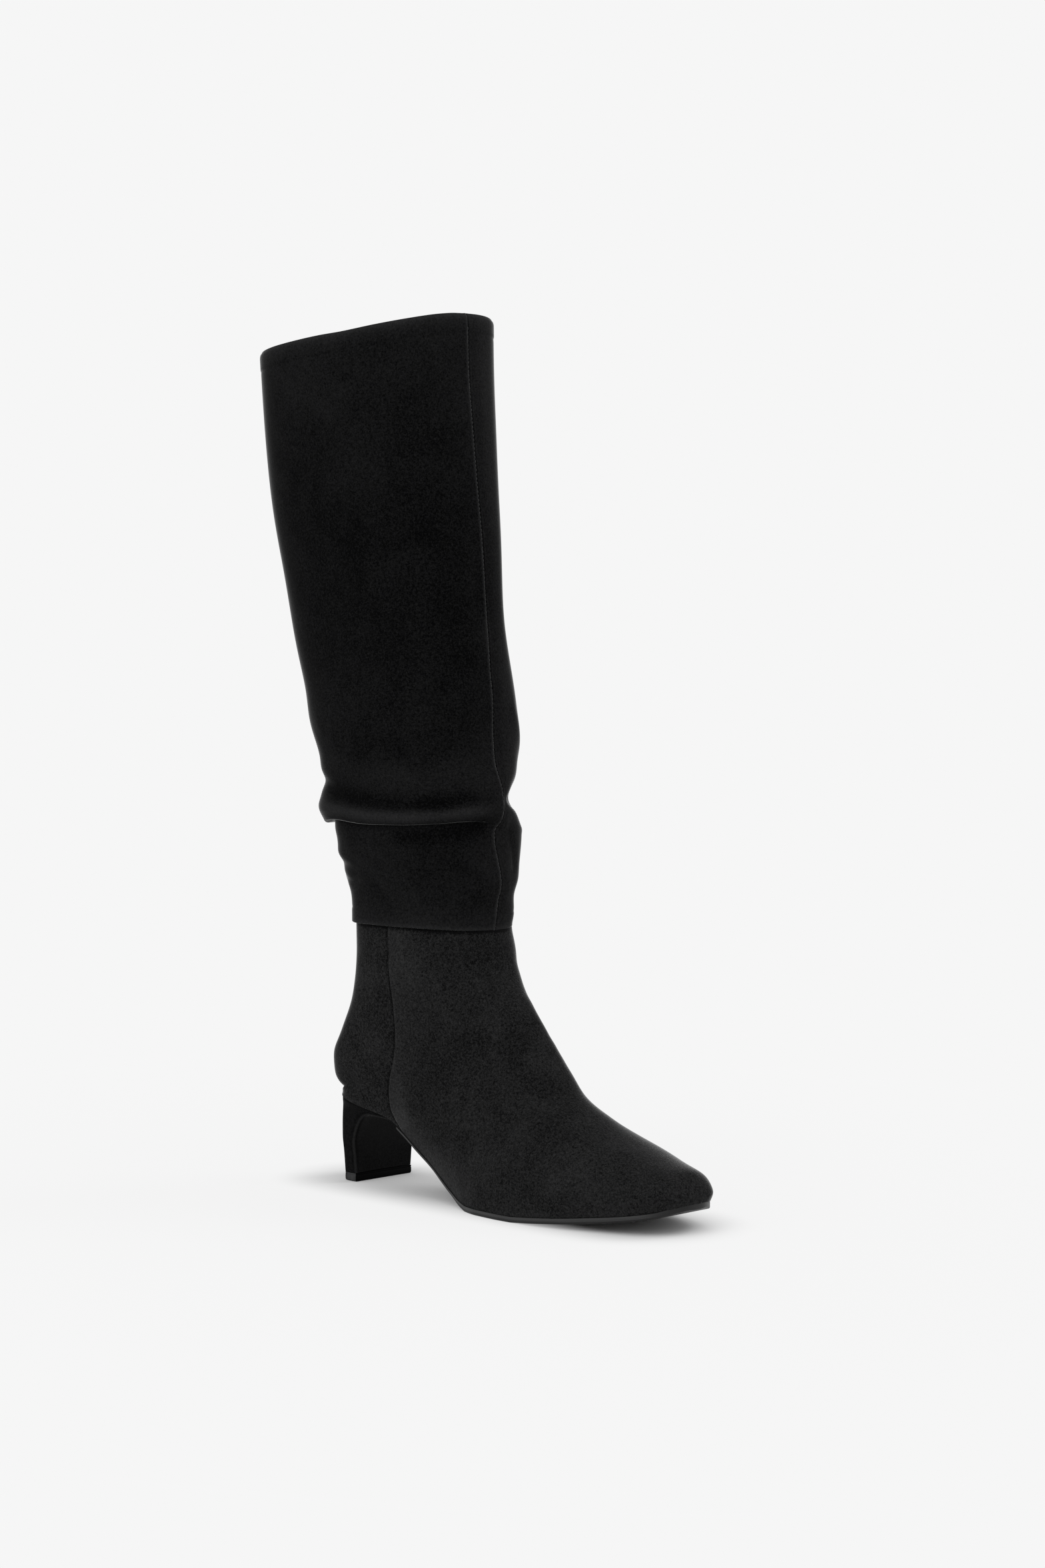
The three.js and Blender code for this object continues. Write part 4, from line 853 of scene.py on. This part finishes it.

# Troughs and ridges of the shaft, each a bell about a path of places, which are a turn in degrees from
# the front, less than 0 to the lateral side, and a height. Then how deep and how wide in mm, and a tone:
# painted shade along the troughs and painted light along the ridges
shaftCreases = [
    ([(-178, 223), (-146, 222), (-124, 219), (-102, 214), (-80, 211), (-62, 210), (-36, 211.5),
      (-12, 215)], -1.5, 4.4, -0.55),
    ([(-176, 208), (-130, 208), (-107, 206), (-83, 203.5), (-62, 203), (-42, 204), (-14, 206.5),
      (0, 206.5)], 0.6, 3.2, 1.3),
    ([(-75, 192.5), (-40, 193.5), (-22, 196), (-2, 198)], -0.5, 4.5, -0.5),
    ([(-24, 214), (-12, 219), (-2, 224)], 0.8, 4.5, 0.12),
    ([(-98, 226), (-60, 222), (-30, 226), (-10, 238)], 0.7, 8.0, 0.2),
    ([(-59, 191), (-46, 184.5), (-31, 176), (-14, 169.5)], -0.5, 3.6, -0.12),
    ([(-100, 186), (-85, 182), (-56, 182.5)], 0.4, 5.5, 0.1),
    ([(-90, 167), (-77, 163), (-62, 161)], 0.35, 6.0, 0.1),
    ([(-28, 182), (-18, 179), (-10, 174)], 0.35, 4.0, 0.08),
    ([(8, 198), (13, 193), (17, 184), (20, 172)], -0.8, 3.8, -0.5),
    ([(34, 205), (18, 204), (5, 200)], 0.2, 3.0, 0.25),
    ([(6, 178), (9, 168), (12, 156)], 0.25, 3.2, 0.12),
    ([(0, 211), (14, 212), (34, 214)], -0.7, 3.0, -0.1),
    ([(-150, 178), (-128, 174.5), (-104, 172)], -0.6, 3.4, -0.1),
    ([(-150, 183), (-124, 180), (-106, 178)], 0.45, 3.0, 0.05),
    ([(-146, 168), (-122, 166), (-108, 167)], -0.6, 2.4, -0.08),
    ([(-110, 232), (-84, 228), (-52, 227)], 0.5, 5.0, 0.12),
    ([(-118, 246), (-96, 262), (-70, 284)], 0.5, 9.0, 0.05),
    ([(-66, 250), (-40, 272), (-16, 300)], -0.45, 9.0, -0.04),
    ([(-124, 300), (-92, 326), (-60, 352)], 0.35, 13.0, 0.04),
    ([(-100, 372), (-60, 392), (-20, 420)], -0.35, 15.0, -0.04),
    ([(18, 262), (40, 244), (58, 232)], 0.8, 7.0, 0.05),
    ([(60, 214), (100, 210), (140, 213), (178, 216)], -2.0, 4.6, -0.3),
    ([(64, 204), (110, 203), (160, 204)], 0.8, 3.4, 0.4),
    ([(56, 188), (90, 180), (124, 172)], -0.6, 4.0, -0.1),
    ([(100, 168), (130, 174), (160, 176)], -0.8, 3.4, -0.1),
    ([(60, 236), (96, 250), (130, 270)], 0.6, 9.0, 0.05),
]
# Turned edges at the collar and the hem: how far the fold reaches, its step, and its rounding inward
edging = dict(collarTurn=9.0, collarStep=0.2, collarFold=2.6, collarIn=1.2, hemTurn=7.0, hemStep=0.15,
              line=0.9, collarDeep=0.15, hemDeep=0.12, hemIn=0.7, hemReach=3.0, hemFrom=(-50, 0),
              hemTo=(100, 130))
seamForm = dict(ridge=-0.8, ridgeWide=0.8, far=1.0, farWide=0.9, farShare=0.45, groove=0.1, grooveWide=0.3,
                deep=0.45)
# Painted highlight on the front seam's ridge and painted shade in its groove, painted light right of the seam
# towards the medial side, painted highlights along the collar's and the hem's edges and painted shade in the
# collar's turned edge line; and lighter or darker bands by height and behind
shaftToneAndPaintedLight = dict(share=[0, 0.2, 0.45, 0.65, 0.85, 1], along=[0.28, 0.16, -0.16, -0.2, 0.1, 0.3], ridge=1.5,
                  groove=-0.5, medial=0.3, medialFrom=(3, 14), medialTo=(90, 120), back=0.1, backTurn=-142,
                  backWide=14, collar=0.8, collarWide=(1.2, 4.5), collarLine=-0.12, hem=0.8, hemWide=1.1,
                  hemSoft=0.35, hemSoftWide=8)


def bellsAlong(px, pz, creases, scale):
    # Each crease's bell: exp(-(distance to its path / wide)^2), tapered to nothing at the path's ends
    relief, tone = np.zeros(px.shape), np.zeros(px.shape)
    for path, deep, wide, shade in creases:
        path = np.array(path, float)
        spans = np.hypot(np.diff(path[:, 0]) * float(scale.mean()), np.diff(path[:, 1]))
        ends = np.concatenate([[0], np.cumsum(spans)]) / spans.sum()
        nearest = np.full(px.shape, np.inf)
        share = np.zeros(px.shape)
        for k in range(len(path) - 1):
            dx, dz = (path[k + 1, 0] - path[k, 0]) * scale, path[k + 1, 1] - path[k, 1]
            ax, az = px - path[k, 0] * scale, pz - path[k, 1]
            u = np.clip((ax * dx + az * dz) / (dx * dx + dz * dz), 0, 1)
            away = np.hypot(ax - u * dx, az - u * dz)
            closer = away < nearest
            nearest = np.where(closer, away, nearest)
            share = np.where(closer, mix(ends[k], ends[k + 1], u), share)
        taper = smooth(-0.02, 0.15, share) * (1 - smooth(0.85, 1.02, share))
        bell = taper * np.exp(-(nearest / wide) ** 2)
        relief += deep * bell
        # The tone is painted shade in the troughs and painted light on the ridges
        tone += shade * bell
    return relief, tone


def shaftRelief(face, turns):
    # The creases, the front seam's ridge and groove, and the turned edges' steps; and a tone of painted light
    # and shade on them, with lighter and darker bands by height
    degrees = np.degrees(turns)[None, :]
    around = np.linalg.norm(np.diff(face, axis=1, append=face[:, :1]), axis=2)
    perDegree = around.sum(axis=1)[:, None] / 360
    total, tone = bellsAlong(degrees * perDegree, face[..., 2], shaftCreases, perDegree)
    seam = face[..., 1] - through(seamLine["z"], seamLine["y"], face[..., 2])
    front = np.abs(degrees) < 60
    ridge, farRidge, groove = (np.exp(-((seam - seamForm[key]) / seamForm[wide]) ** 2) for key, wide in
                               (("ridge", "ridgeWide"), ("far", "farWide"), ("groove", "grooveWide")))
    raised = tube["seamRise"] * (ridge + seamForm["farShare"] * farRidge) - seamForm["deep"] * groove
    total += np.where(front, raised, 0)
    look = shaftToneAndPaintedLight
    # Painted highlight on the seam's ridge, painted shade in its groove
    tone += np.where(front, look["ridge"] * ridge + look["groove"] * groove, 0)
    # Painted light right of the seam, towards the medial side
    tone += look["medial"] * smooth(*look["medialFrom"], degrees) * (1 - smooth(*look["medialTo"], degrees))
    share = (face[..., 2] - leg["hem"]) / tubeTall
    tone += np.interp(share, look["share"], look["along"])
    behind = np.exp(-((degrees - look["backTurn"]) / look["backWide"]) ** 2)
    tone += look["back"] * behind * (1 - 0.6 * smooth(0.2, 0.5, share))
    rowLength = np.linalg.norm(np.diff(face, axis=0), axis=2)
    fromHem = np.concatenate([np.zeros((1, face.shape[1])), np.cumsum(rowLength, 0)])
    fromCollar = fromHem[-1:] - fromHem
    for away, name in ((fromCollar, "collar"), (fromHem, "hem")):
        end = edging[name + "Turn"]
        total += edging[name + "Step"] * (1 - smooth(end - 0.6, end + 0.6, away))
        line = np.exp(-((away - end - 0.6) / edging["line"]) ** 2)
        total -= edging[name + "Deep"] * line
        # Painted shade in the line of the collar's turned edge; none at the hem
        tone += look.get(name + "Line", 0) * line
    u = np.clip(1 - fromCollar / edging["collarFold"], 0, 1)
    total -= edging["collarIn"] * (1 - np.sqrt(1 - u * u * 0.98))
    around = smooth(*edging["hemFrom"], degrees) * (1 - smooth(*edging["hemTo"], degrees))
    total -= edging["hemIn"] * np.exp(-(fromHem / edging["hemReach"]) ** 2) * around
    # Painted highlights along the collar's rounded top edge and the hem's edge, and a broader lightening
    # above the hem
    tone += look["collar"] * sum(np.exp(-(fromCollar / wide) ** 2) for wide in look["collarWide"])
    tone += look["hem"] * np.exp(-(fromHem / look["hemWide"]) ** 2)
    tone += look["hemSoft"] * np.exp(-(fromHem / look["hemSoftWide"]) ** 2)
    return total, tone


shaftDepth, shaftTone = shaftRelief(shaftFace, turns)
shaftFace = shaftFace + shaftNormals * shaftDepth[..., None]


def makeShaft():
    # The outer face, over the rounded collar edge, down the inner face and round the hem
    thick = tube["wall"] - tube["lining"]
    normals = shaftNormals
    t = np.linspace(0, math.pi, 9)[1:-1][:, None, None]

    def rim(face, normal, up, width):
        middle = face - normal * width / 2
        return middle[None] + width / 2 * (np.cos(t) * normal[None] + np.sin(t) * up)

    top = rim(shaftFace[-1], normals[-1], np.array([0, 0, 1.0]), thick)
    bottom = rim(shaftFace[0], normals[0], np.array([0, 0, -1.0]), thick)[::-1]
    pick = np.linspace(0, tube["rows"] - 1, tube["innerRows"]).round().astype(int)[::-1]
    inner = (shaftFace - normals * thick)[pick]
    grid = np.concatenate([shaftFace, top, inner, bottom])
    tone = np.concatenate([shaftTone, np.tile(shaftTone[-1], (len(top), 1)), shaftTone[pick] * 0,
                           np.tile(shaftTone[0], (len(bottom), 1))])
    faces = gridFaces(*grid.shape[:2], around=True, closed=True)
    makePiece("shaft_suede", grid.reshape(-1, 3), faces, shaftSuede, "shaft", tone=tone)


def makeShaftLining():
    # A thin tube against the suede's inner face, from inside the hem to just under the collar
    pick = np.linspace(4, tube["rows"] - 5, tube["liningRows"]).round().astype(int)
    turn = np.linspace(0, tube["turns"], tube["liningTurns"], endpoint=False).round().astype(int)
    thick = tube["wall"] - tube["lining"]
    outer = (shaftFace - shaftNormals * thick)[pick][:, turn]
    normals = shaftNormals[pick][:, turn]
    grid = wallOf(outer, normals, tube["lining"])
    faces = gridFaces(*grid.shape[:2], around=True, closed=True)
    makePiece("shaft_lining", grid.reshape(-1, 3), faces, liningLeather, "shaft")


makeShaft()
makeShaftLining()


# Stitches: short threads laid along a line of points, each a rounded rod of a few faces

def stitchRow(line, normals, length, pitch, thick, lift):
    # line is cut at even steps; each stitch is a rod of 6 sides and 5 rings with narrowed ends
    step = np.linalg.norm(np.diff(line, axis=0), axis=1)
    s = np.concatenate([[0], np.cumsum(step)])
    starts = np.arange(pitch / 2, s[-1] - length, pitch)
    def at(distance):
        return np.stack([np.interp(distance, s, line[:, k]) for k in range(3)], -1)
    ringAlong = np.array([0, 0.12, 0.5, 0.88, 1])
    ringWide = np.array([0.25, 0.8, 1, 0.8, 0.25])
    sink = np.array([0.9, 0.2, 0, 0.2, 0.9])
    places = starts[:, None] + length * ringAlong[None]
    centre = at(places.ravel()).reshape(len(starts), 5, 3)
    out = np.stack([np.interp(places, s, normals[:, k]) for k in range(3)], -1)
    out /= np.linalg.norm(out, axis=-1, keepdims=True)
    along = centre[:, -1:] - centre[:, :1]
    along = along / np.linalg.norm(along, axis=-1, keepdims=True)
    side = np.cross(np.broadcast_to(along, out.shape), out)
    centre = centre + out * (lift - sink[None, :, None] * thick)
    angle = np.linspace(0, 2 * math.pi, 6, endpoint=False)
    wide = (ringWide * thick / 2)[None, :, None, None]
    rings = centre[:, :, None] + wide * (np.cos(angle)[None, None, :, None] * out[:, :, None]
                                         + np.sin(angle)[None, None, :, None] * side[:, :, None])
    points = rings.reshape(-1, 3)
    one = gridFaces(5, 6, around=True)
    faces = (one[None] + (np.arange(len(starts)) * 30)[:, None, None]).reshape(-1, 4).tolist()
    for k in range(len(starts)):
        faces.append([k * 30 + j for j in range(6)][::-1])
        faces.append([k * 30 + 24 + j for j in range(6)])
    return points, faces


stitching = dict(aside=0.45, long=1.7, pitch=2.3, thick=0.36, proud=0.05)


def makeSeamStitches():
    # One row beside the front seam's groove, from the hem to the collar
    ahead = shaftFace[..., 1] - through(seamLine["z"], seamLine["y"], shaftFace[..., 2]) + stitching["aside"]
    near = np.where(np.abs(np.degrees(turns)) < 40)[0]
    ahead = ahead[:, near]
    before = np.sum(ahead < 0, axis=1) - 1
    rows = np.arange(len(ahead))
    at = near[0] + before - ahead[rows, before] / (ahead[rows, before + 1] - ahead[rows, before])
    line = columnsAt(shaftFace, at[:, None])[6:-6, 0]
    normals = columnsAt(shaftNormals, at[:, None])[6:-6, 0]
    points, faces = stitchRow(line, normals, stitching["long"], stitching["pitch"], stitching["thick"],
                              stitching["proud"])
    makePiece("front_seam_stitches", points, faces, thread, weld=0.0001)


makeSeamStitches()


# The outsole: rings across it with rounded edges, from the front of the heel to the toe tip

sole = dict(back=48.3, reveal=0.9, round=0.75, topRound=0.35, stations=190, crowd=1.6, edgeGroove=0.12,
            edgeLight=1.6, edgePaintedShade=0.4, plain=(216, 234))


def makeOutsole():
    front = tip + sole["reveal"]
    u = np.linspace(0, 1, sole["stations"])
    x = mix(sole["back"], front - 0.001, 1 - (1 - u) ** sole["crowd"])
    top, depth = soleTop(np.minimum(x, tip)), soleDepth(x)
    drawn = x - toeTuck["sole"] * smooth(toeTuck["start"], toeTuck["end"], x)
    left = middleY(x) - planHalf(x, "lateral", sole["reveal"])
    right = middleY(x) + planHalf(x, "medial", sole["reveal"])
    half, middle = (right - left) / 2, (right + left) / 2
    radius = np.minimum(np.minimum(sole["round"], depth * 0.45), half / 2)
    topRadius = radius * sole["topRound"]
    # One edge: its small upper round, a faint groove and its lower round; the other is its mirror image
    arc = np.linspace(0, math.pi / 2, 7)
    edge = [(half - topRadius * (1 - np.sin(a)), -topRadius * (1 - np.cos(a))) for a in arc]
    for v in (0.35, 0.45, 0.5, 0.55, 0.65):
        bite = sole["edgeGroove"] * math.exp(-((v - 0.5) / 0.05) ** 2)
        edge.append((half - bite * np.minimum(depth / 3, 1), -depth * v))
    edge += [(half - radius * (1 - np.cos(a)), -depth + radius * (1 - np.sin(a))) for a in arc]
    flat = np.linspace(-1, 1, 21)[1:-1]
    columns = [(y * (half - topRadius), 0 * x) for y in flat] + edge
    columns += [(-y * (half - radius), -depth) for y in flat] + [(-y, z) for y, z in edge[::-1]]
    grid = np.stack([np.stack([drawn, middle + y, top + z], -1) for y, z in columns], 1)
    # The edge has a painted highlight on its upper half and painted shade below; at the toe's tip it is plain
    down = np.stack([-z / depth for y, z in columns], 1)
    outer = smooth(0.9, 0.97, np.stack([np.abs(y) / half for y, z in columns], 1))
    outer = outer * (1 - smooth(*sole["plain"], drawn))[:, None]
    tone = outer * (sole["edgeLight"] * np.exp(-((down - 0.25) / 0.22) ** 2)
                    - sole["edgePaintedShade"] * smooth(0.45, 0.7, down))
    makePiece("outsole_leather", grid.reshape(-1, 3), ringFaces(grid), soleLeather, "outsole",
              smoothBy=35, tone=tone)


makeOutsole()


# The heel: slices from its breast, cove or flange back to its rear and seat, each a closed ring

heel = dict(front=5.6, back=-8.7, tread=41.4, waist=45.4, bottom=4.8, shift=0.8, coveReach=17.0,
            coveRise=20.0, coveTop=39.0, flangeFront=48.0, flangeBackThick=4.6, flangeFrontThick=1.3,
            cornerX=3.0, bladeRound=3.6, rim=1.4, scoop=0.9, slices=120, blade=0.32, arch=0.4, upBack=0.62)
# Painted light at the breast's top and a painted highlight on its rim, darker just behind the rim and towards
# the top of the side, and a painted shadow under the seat
heelPaintedLightAndShade = dict(breastLow=0.25, breastHigh=1.6, breast=(8, 38), rim=1.5, side=0.1, byRim=0.3, upper=0.15,
                 upperFrom=(28, 42), paintedShadowUnderSeat=0.8, paintedShadowUnderSeatTall=1.1)
heelShares = dict(high=[0, 0.25, 0.5, 0.66, 0.8, 0.9, 1, 1.1], flare=[0, 0.03, 0.12, 0.3, 0.55, 0.8, 1, 1],
                  width=[0, 0.45, 1, 1, 1, 1, 1, 1], seat=[0, 0, 0, 0.06, 0.24, 0.55, 1, 1])


def heelShare(z, key):
    high = (z - heel["bottom"]) / (last["seatHeight"] - heel["bottom"])
    return through(heelShares["high"], heelShares[key], high)


def heelBack(z):
    return mix(heel["back"], last["seatBack"], heelShare(z, "flare"))


def heelHalf(x, z, side):
    # Half width at a place in the side view: the blade's rounded back, mixed into the seat's plan
    back = heelBack(z)
    inward = np.clip((heel["cornerX"] - x) / (heel["cornerX"] - back), 0, 1)
    blade = mix(heel["tread"], heel["waist"], heelShare(z, "width")) / 2
    blade = blade * (1 - inward ** heel["bladeRound"]) ** (1 / heel["bladeRound"])
    shifted = np.clip(x - back, 0, None)
    plan = planFull(x, side) * closing(shifted, last["heelReach"], last["seatSquareness"])
    blade = blade + heel["shift"] * (1 if side == "medial" else -1)
    return mix(blade, plan, heelShare(z, "seat"))


def heelLines():
    # Side view: where each slice starts, on the breast, cove or flange, and ends, on the back or seat
    coveX = heel["front"] + heel["coveReach"]
    lowTop = heel["coveTop"] - heel["coveRise"]
    blade, arch = (int(heel["slices"] * heel[key]) for key in ("blade", "arch"))
    flange = heel["slices"] - blade - arch
    bladeZ = np.linspace(heel["bottom"], lowTop, blade, endpoint=False)
    angle = math.pi - np.linspace(0, math.pi / 2, arch, endpoint=False)
    along = np.linspace(0, 1, flange)
    flangeX = mix(coveX, heel["flangeFront"], along)
    thick = mix(heel["flangeBackThick"], heel["flangeFrontThick"], along)
    startX = np.concatenate([0 * bladeZ + heel["front"], coveX + heel["coveReach"] * np.cos(angle), flangeX])
    startZ = np.concatenate([bladeZ, lowTop + heel["coveRise"] * np.sin(angle), soleTop(flangeX) - thick])
    rise = np.linspace(0, 1, arch, endpoint=False)
    onBack = rise < heel["upBack"]
    backZ = mix(lowTop, float(soleTop(last["seatBack"])), np.clip(rise / heel["upBack"], 0, 1))
    seatX = mix(last["seatBack"], coveX - 2.0, np.clip((rise - heel["upBack"]) / (1 - heel["upBack"]), 0, 1))
    endX = np.concatenate([heelBack(bladeZ), np.where(onBack, heelBack(backZ), seatX),
                           mix(coveX - 2.0, heel["flangeFront"], along)])
    endZ = np.concatenate([bladeZ, np.where(onBack, backZ, soleTop(seatX)), soleTop(endX[-flange:])])
    return startX, startZ, endX, endZ


def heelSide(side, sign, lines):
    # One side's columns and tones: over the hollow breast, round its rim, back along the side, and in
    startX, startZ, endX, endZ = lines
    look = heelPaintedLightAndShade
    lengths = np.hypot(endX - startX, endZ - startZ)
    rim = np.minimum(heel["rim"], lengths * 0.45)
    corner = rim / np.maximum(lengths, 1e-6)
    base = heelHalf(mix(startX, endX, corner), mix(startZ, endZ, corner), side)
    columns, tones = [], []

    def add(depth, across, tone):
        columns.append(np.stack([mix(startX, endX, depth), sign * across, mix(startZ, endZ, depth)], -1))
        tones.append(tone + 0 * startX)

    # Painted light towards the breast's top
    for w in np.linspace(0, 1, 11)[:-1]:
        depth = heel["scoop"] * (1 - w ** 4) * smooth(0, 4, lengths - 4) / lengths
        high = smooth(*look["breast"], mix(startZ, endZ, depth))
        add(depth, w * (base - rim), mix(look["breastLow"], look["breastHigh"], high))
    # Painted highlight on the breast's rim
    for a in np.linspace(0, math.pi / 2, 8):
        add(corner * (1 - math.cos(a)), base - rim + rim * math.sin(a), look["rim"] * math.sin(2 * a))
    # Closer together near the breast's rim and near the rounded back
    for share in 0.5 - 0.5 * np.cos(math.pi * np.linspace(0, 1, 41)[1:]):
        depth = mix(corner, 1, share)
        x, z = mix(startX, endX, depth), mix(startZ, endZ, depth)
        fromSeat = soleTop(np.maximum(x, last["seatBack"])) - z
        # Darker just behind the rim and towards the top, and a painted shadow under the seat
        dark = look["byRim"] * math.exp(-((share - 0.06) / 0.05) ** 2)
        dark = dark + look["upper"] * smooth(*look["upperFrom"], z)
        dark = dark + look["paintedShadowUnderSeat"] * np.exp(-(fromSeat / look["paintedShadowUnderSeatTall"]) ** 2)
        add(depth, heelHalf(x, z, side), look["side"] - dark)
    back = columns[-1]
    for w in np.linspace(1, 0, 9)[1:]:
        columns.append(back * np.array([1, w, 1]))
        tones.append(0 * startX)
    return columns, tones


def makeHeel():
    lines = heelLines()
    lateral, lateralTones = heelSide("lateral", -1, lines)
    medial, medialTones = heelSide("medial", 1, lines)
    grid = np.stack(lateral + medial[-2:0:-1], 1)
    tone = np.stack(lateralTones + medialTones[-2:0:-1], 1)
    makePiece("heel_cover", grid.reshape(-1, 3), ringFaces(grid), heelSuede, "heel",
              smoothBy=50, tone=tone)


makeHeel()

# The heel's tread: a plastic lift with a rounded foot and a lip line on its breast

lift = dict(high=[0, 0, 0.12, 0.35, 0.7, 1.1, 3.3, 3.5, 3.7, 3.9, 4.3, 4.5, 4.5],
            inset=[3, 0.7, 0.4, 0.16, 0.03, 0, 0, 0.16, 0.16, 0, 0, 0.15, 3],
            curve=26, corner=0.5, sidePaintedLight=0.12, frontPaintedShadow=0.7, front=(0.45, 0.15))


def makeTopPiece():
    # A ring at each height, each inset by so many mm: rounded at the back, with small front corners
    u = np.linspace(0, math.pi / 2, lift["curve"])
    a = np.linspace(0, math.pi / 2, 6)
    power = 2 / heel["bladeRound"]
    rows = []
    for height, cut in zip(lift["high"], lift["inset"]):
        half = heel["tread"] / 2 - cut
        back, front = heel["back"] + cut, heel["front"] - cut
        cornerX = heel["cornerX"] - cut * 0.3
        x = cornerX - (cornerX - back) * np.cos(u) ** power
        y = half * np.sin(u) ** power
        x = np.concatenate([x, front - lift["corner"] * (1 - np.sin(a))])
        y = np.concatenate([y, half - lift["corner"] * (1 - np.cos(a))])
        ring = np.stack([x, -y, 0 * x + height], -1)
        other = (ring * np.array([1, -1, 1]))[::-1]
        rows.append(np.concatenate([ring, other[:-1]]) + np.array([0, heel["shift"], 0]))
    grid = np.stack(rows)
    # Painted light on the lift's sides, and painted shadow on its front, which stands in the boot's shadow
    onFront = smooth(*(heel["front"] - past for past in lift["front"]), grid[..., 0])
    tone = lift["sidePaintedLight"] - lift["frontPaintedShadow"] * onFront
    makePiece("heel_lift", grid.reshape(-1, 3), ringFaces(grid), topPiecePlastic,
              "heel_top_piece", smoothBy=40, tone=tone)


makeTopPiece()

# The insole stays as it is, in leather
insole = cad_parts["insole"]
insole.data.materials.clear()
insole.data.materials.append(insoleLeather)

# Floor, sky and lights

stage = dict(size=12.0, floor=0.7, sky=0.9216, backdrop=0.9216, heelX=0.0, toeX=0.2, near=0.02, far=0.06,
             farther=0.5, fill=0.9)


def makeFloor():
    # A wide pale floor. Its shadow is full under the boot, and past it the floor glows as the backdrop
    mesh = bpy.data.meshes.new("floor")
    s = stage["size"] / 2
    mesh.from_pydata([(-s, -s, 0), (s, -s, 0), (s, s, 0), (-s, s, 0)], [], [(0, 1, 2, 3)])
    floor = bpy.data.objects.new("floor", mesh)
    bpy.context.scene.collection.objects.link(floor)
    material = bpy.data.materials.new("floorPaper")
    material.use_nodes = True
    tree = material.node_tree
    shader = tree.nodes["Principled BSDF"]
    shader.inputs["Base Color"].default_value = (stage["floor"],) * 3 + (1,)
    shader.inputs["Roughness"].default_value = 0.9
    shader.inputs["Specular IOR Level"].default_value = 0.0
    glow = tree.nodes.new("ShaderNodeEmission")
    glow.inputs["Color"].default_value = (stage["backdrop"],) * 3 + (1,)
    place = addNode(tree, "ShaderNodeTexCoord").outputs["Object"]
    parts = addNode(tree, "ShaderNodeSeparateXYZ", None, dict(Vector=place))
    # How far a place on the floor is from the line under the boot, from the heel to the toe
    x, y = parts.outputs["X"], parts.outputs["Y"]
    onLine = calc(tree, "MINIMUM", calc(tree, "MAXIMUM", x, stage["heelX"]), stage["toeX"])
    ahead = calc(tree, "SUBTRACT", x, onLine)
    away = calc(tree, "SQRT", calc(tree, "ADD", calc(tree, "MULTIPLY", ahead, ahead),
                                   calc(tree, "MULTIPLY", y, y)))
    steps = []
    for near, far, share in (("near", "far", stage["fill"]), ("far", "farther", 1 - stage["fill"])):
        settings = {"interpolation_type": "SMOOTHSTEP", "From Min": stage[near], "From Max": stage[far],
                    "To Max": share}
        steps.append(addNode(tree, "ShaderNodeMapRange", settings, dict(Value=away)).outputs[0])
    fade = calc(tree, "ADD", *steps)
    blend = tree.nodes.new("ShaderNodeMixShader")
    tree.links.new(fade, blend.inputs[0])
    tree.links.new(shader.outputs[0], blend.inputs[1])
    tree.links.new(glow.outputs[0], blend.inputs[2])
    tree.links.new(blend.outputs[0], tree.nodes["Material Output"].inputs["Surface"])
    mesh.materials.append(material)


def makeSky():
    world = bpy.data.worlds.new("studio")
    world.use_nodes = True
    bpy.context.scene.world = world
    tree = world.node_tree
    light = tree.nodes["Background"]
    light.inputs["Strength"].default_value = stage["sky"]
    light.inputs["Color"].default_value = (1, 1, 1, 1)


def addLight(name, place, target, size, power):
    data = bpy.data.lights.new(name, "AREA")
    data.shape = "RECTANGLE"
    data.size, data.size_y = size
    data.energy = power
    light = bpy.data.objects.new(name, data)
    bpy.context.scene.collection.objects.link(light)
    light.location = place
    way = np.array(target) - np.array(place)
    flat = math.hypot(way[0], way[1])
    light.rotation_euler = (math.atan2(flat, -way[2]), 0, math.atan2(-way[0], way[1]))


makeFloor()
makeSky()
addLight("key", (0.1, -1.9, 1.2), (0.05, 0, 0.2), (1.4, 1.4), 16.0)
addLight("rim", (0.9, 1.5, 1.0), (0.05, 0, 0.25), (0.8, 1.4), 16.0)
bpy.context.scene.view_settings.view_transform = "Standard"
print("stage made")
